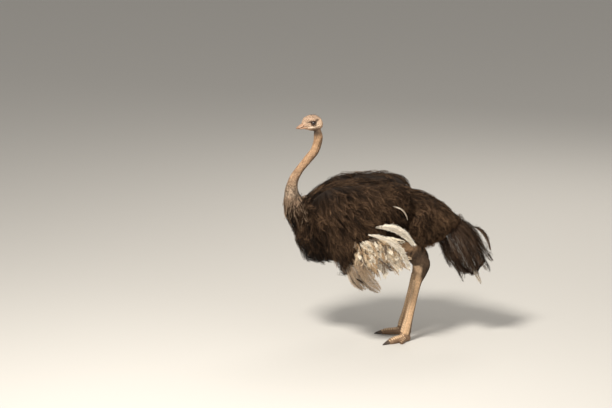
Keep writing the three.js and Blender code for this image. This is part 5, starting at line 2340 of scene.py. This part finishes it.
def tail_bed(rng, count):
    """The long plumes of the tail's bush, which follow its sides down to the tips."""
    a = rng.uniform(0, TURN, count)
    start = rng.uniform(0.25, 4.6, count)
    long = rng.uniform(2.0, 4.2, count)
    inset = rng.uniform(6, 66, count) * rng.uniform(0.3, 1, count)
    f = np.linspace(0, 1, BLADE_STOPS)
    t = np.clip(start[:, None] + long[:, None] * f[None], 0, 7.0)
    twist = a[:, None] + 0.25 * rng.normal(size=(count, 1)) * f[None]
    depth = inset[:, None] + 26 * (1 - f[None]) ** 2
    spines = tail_surface(t, twist, depth)
    middle = tail_surface(t, twist, depth + 30)
    ups = unit(spines - middle + 1e-6)
    beyond = np.clip(start[:, None] + long[:, None] * f - TAIL_END, 0, 3)
    spines = spines + np.array([0, 0, -1.0]) * beyond[..., None] * 18
    turn = 0.5 * rng.normal(size=(count, 1, 1))
    legs = unit(np.gradient(spines, axis=1))
    ups = unit(ups * np.cos(turn) + np.cross(legs, ups) * np.sin(turn))
    spines, ups, own = locked(spines, ups, rng, share=0.22, pull=0.7, curl=10.0, lift=8.0)
    tones, tips = tail_tones(0.38)(own.max() + 1, rng)
    tones, tips = tones[own], tips[own]
    worn = np.exp(-(((spines[:, 4] - [390, -60, 710]) / [62, 90, 80]) ** 2).sum(-1))
    tips = mixed(tips, linear((146, 122, 104)), 0.6 * worn)
    patches = strip_patch(start, a, TAIL_END)
    patches[:, 0] *= 0.6
    return bed_of(spines, ups, 15 * rng.uniform(0.7, 1.25, count), tones, tips, patches)


def strands(name, beds, thin):
    """Fine tapered hairs as flat ribbons; each bed is (paths (n, k, 3), tones (n, 3), patches (n, 2))."""
    paths = np.concatenate([b[0] for b in beds])
    tones = np.concatenate([b[1] for b in beds])
    patches = np.concatenate([b[2] for b in beds])
    n, k = paths.shape[:2]
    legs = unit(np.gradient(paths, axis=1))
    across = unit(np.cross(legs, np.array([0.31, 0.22, 0.92])))
    taper = (1 - 0.9 * np.linspace(0, 1, k) ** 1.6)[None, :, None] * thin / 2
    points = np.stack([paths + across * taper, paths - across * taper], 2).reshape(-1, 3)
    i = np.arange(k - 1) * 2
    own = np.stack([i, i + 2, i + 3, i + 1], -1).ravel()
    corners = (own[None] + (np.arange(n) * 2 * k)[:, None]).ravel()
    piece = new_mesh(name, points, corners, np.full(n * (k - 1), 4), checked=False)
    tone = np.repeat(tones, 2 * k, 0)
    give_tone(piece.data, tone)
    leaf = np.stack([np.tile(np.repeat(np.linspace(-0.5, 0.5, k), 2), n),
                     np.tile([0.4, -0.4], n * k)], -1)
    bake = piece.data.uv_layers.new(name="OFBake")
    spread = np.repeat(patches, 2 * k, 0) + 0.003 * leaf
    bake.uv.foreach_set("vector", spread[corners].astype(np.float32).ravel())
    return piece


def lash_bed(side):
    """Stiff black lashes along the upper lid's rim."""
    rng = np.random.default_rng(8 + side)
    n = 34
    centre, outwards_axis, forwards, upwards = eye_frame(side)
    psi = np.linspace(math.radians(12), math.radians(168), n) + rng.uniform(-0.03, 0.03, n)
    off = opening_radius(psi) + 0.03
    around = forwards * np.cos(psi)[:, None] + upwards * np.sin(psi)[:, None]
    direction = outwards_axis * np.cos(off)[:, None] + around * np.sin(off)[:, None]
    root = centre + direction * (EYE_RADIUS + 2.2)
    long = rng.uniform(7, 11, n)[:, None]
    aim = unit(outwards_axis * 1.0 + around * 0.55 + forwards * 0.25 * rng.uniform(-1, 1, (n, 1)))
    f = np.linspace(0, 1, 6)
    paths = root[:, None] + aim[:, None] * (long * f)[..., None]
    paths = paths + upwards * (0.35 * long * (f**2 - 0.55 * f))[..., None]
    tone = even_tone((26, 19, 16), (n, 3))
    patches = np.stack([0.25 + 0.5 * (side > 0) + 0.1 * np.cos(psi), 0.5 + 0.1 * np.sin(psi)], -1)
    return from_head(paths), tone, patches


def crown_bed(rng):
    """The thin hair-like feathers that stand up over the crown and down the nape."""
    n = 240
    x = rng.uniform(-72, 14, n)
    aside = rng.normal(size=n) * 13
    table = SKULL
    t = np.interp(x, table["x"], np.arange(8))
    half, top, low = (along(table, k, t) for k in ("half", "top", "low"))
    a = math.pi / 2 + np.clip(aside / np.maximum(half, 5), -0.9, 0.9)
    root = into_head(skull_surface(t, a, 2.0))
    up = unit(root - np.stack([x, 0 * x, (top + low) / 2], -1))
    long = rng.uniform(7, 16, n) * (1 - 0.4 * (x > -10))
    f = np.linspace(0, 1, 5)
    back = np.array([-1.0, 0, 0.15]) + 0.25 * rng.normal(size=(n, 3))
    paths = root[:, None] + up[:, None] * (long[:, None] * 0.75 * (f - 0.35 * f**2))[..., None]
    paths = paths + unit(back)[:, None] * (long[:, None] * 0.75 * f**1.5)[..., None]
    tone = mixed(even_tone((120, 96, 78), (n, 3)), linear((64, 50, 42)), rng.uniform(0, 1, n))
    patches = np.stack([0.1 + 0.8 * t / 7, 0.5 + 0.1 * aside / 40], -1)
    return from_head(paths), tone, patches


def shade_down(piece):
    """Colours the down: sparse pale hair on the head, speckled grey further down, black at the foot."""
    mesh = piece.data
    points = read_points(mesh)
    t = np.linspace(0, NECK_END, 300)
    per = 20  # points of one tuft
    first = points[::per]
    place = t[nearest_rows(point_tree(neck_line(t)), first)]
    rng = np.random.default_rng(17)
    lot = rng.uniform(0, 1, len(first))
    grey, black = neck_shades(first, place)
    pale = mixed(even_tone((206, 176, 146), first.shape), linear((128, 98, 76)), lot)
    speckled = mixed(
        even_tone((186, 164, 142), first.shape), linear((48, 36, 28)),
        smooth_step(lot, 0.25, 0.75),
    )
    dark = mixed(even_tone((34, 25, 19), first.shape), linear((120, 98, 80)), lot**4)
    tone = mixed(pale, speckled, grey)
    tone = mixed(tone, dark, smooth_step(black + 0.5 * (lot - 0.5), 0.2, 0.8))
    # painted shade under the jaw, on the down as on the skin
    tone = mixed(tone, linear((60, 47, 37)), painted_jaw_shade(first))
    if "tone" in mesh.attributes:
        mesh.attributes.remove(mesh.attributes["tone"])
    tone = np.repeat(tone, per, 0)
    give_tone(mesh, tone)


VIEW_DOWN = math.radians(12)  # how far the camera looks down
VIEW_AWAY = 20000  # from the camera to its aim
VIEW_ASIDE, VIEW_ABOVE = -693.0, 959  # the aim, along the bird and up across the view from the near leg
NEAR_LEG = -95.0


def add_camera(scene):
    """A long lens at the bird's left side, a little above it."""
    camera = bpy.data.cameras.new("view")
    camera.sensor_width, camera.lens = 36.0, 168.07
    camera.clip_end = 200.0
    view = add_object("view", camera)
    ahead = np.array([0, math.cos(VIEW_DOWN), -math.sin(VIEW_DOWN)])
    above = np.array([0, math.sin(VIEW_DOWN), math.cos(VIEW_DOWN)])
    place = np.array([0, NEAR_LEG, 0]) - ahead * VIEW_AWAY + np.array([VIEW_ASIDE, 0, 0])
    place = place + above * VIEW_ABOVE
    view.location = to_frame(place)
    view.rotation_euler = (math.radians(90) - VIEW_DOWN, 0, 0)
    scene.camera = view


# ------------------------------------------------------------------ panel and registration
OPERATORS = (
    OSTRICH_OT_skin,
    OSTRICH_OT_eyes,
    OSTRICH_OT_bill,
    OSTRICH_OT_claws,
    OSTRICH_OT_scutes,
    OSTRICH_OT_down,
    OSTRICH_OT_body_plumage,
    OSTRICH_OT_wing_plumage,
    OSTRICH_OT_white_plumes,
    OSTRICH_OT_tail_plumage,
    OSTRICH_OT_stage,
)


class OSTRICH_PT_panel(bpy.types.Panel):
    """The bird's sizes, colours and pieces"""

    bl_idname = "OSTRICH_PT_panel"
    bl_label = "Ostrich"
    bl_space_type = "VIEW_3D"
    bl_region_type = "UI"
    bl_category = "Ostrich"

    def draw(self, context):
        for group in settings():
            box = self.layout.box()
            for name in group.__annotations__:
                box.prop(group, name)
        for operator in OPERATORS:
            self.layout.operator(operator.bl_idname)


CLASSES = (OstrichBody, OstrichColours, *OPERATORS, OSTRICH_PT_panel)


def register():
    for made in CLASSES:
        bpy.utils.register_class(made)
    bpy.types.Scene.ostrich_body = PointerProperty(type=OstrichBody)
    bpy.types.Scene.ostrich_colours = PointerProperty(type=OstrichColours)


def unregister():
    del bpy.types.Scene.ostrich_colours
    del bpy.types.Scene.ostrich_body
    for made in reversed(CLASSES):
        bpy.utils.unregister_class(made)


def main():
    register()
    for operator in OPERATORS:
        group, name = operator.bl_idname.split(".")
        getattr(getattr(bpy.ops, group), name)()
    sizes = {"cad": CAD_BOX, "visual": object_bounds()}
    plain = {key: [[float(v) for v in corner] for corner in box] for key, box in sizes.items()}


if __name__ == "__main__":
    main()
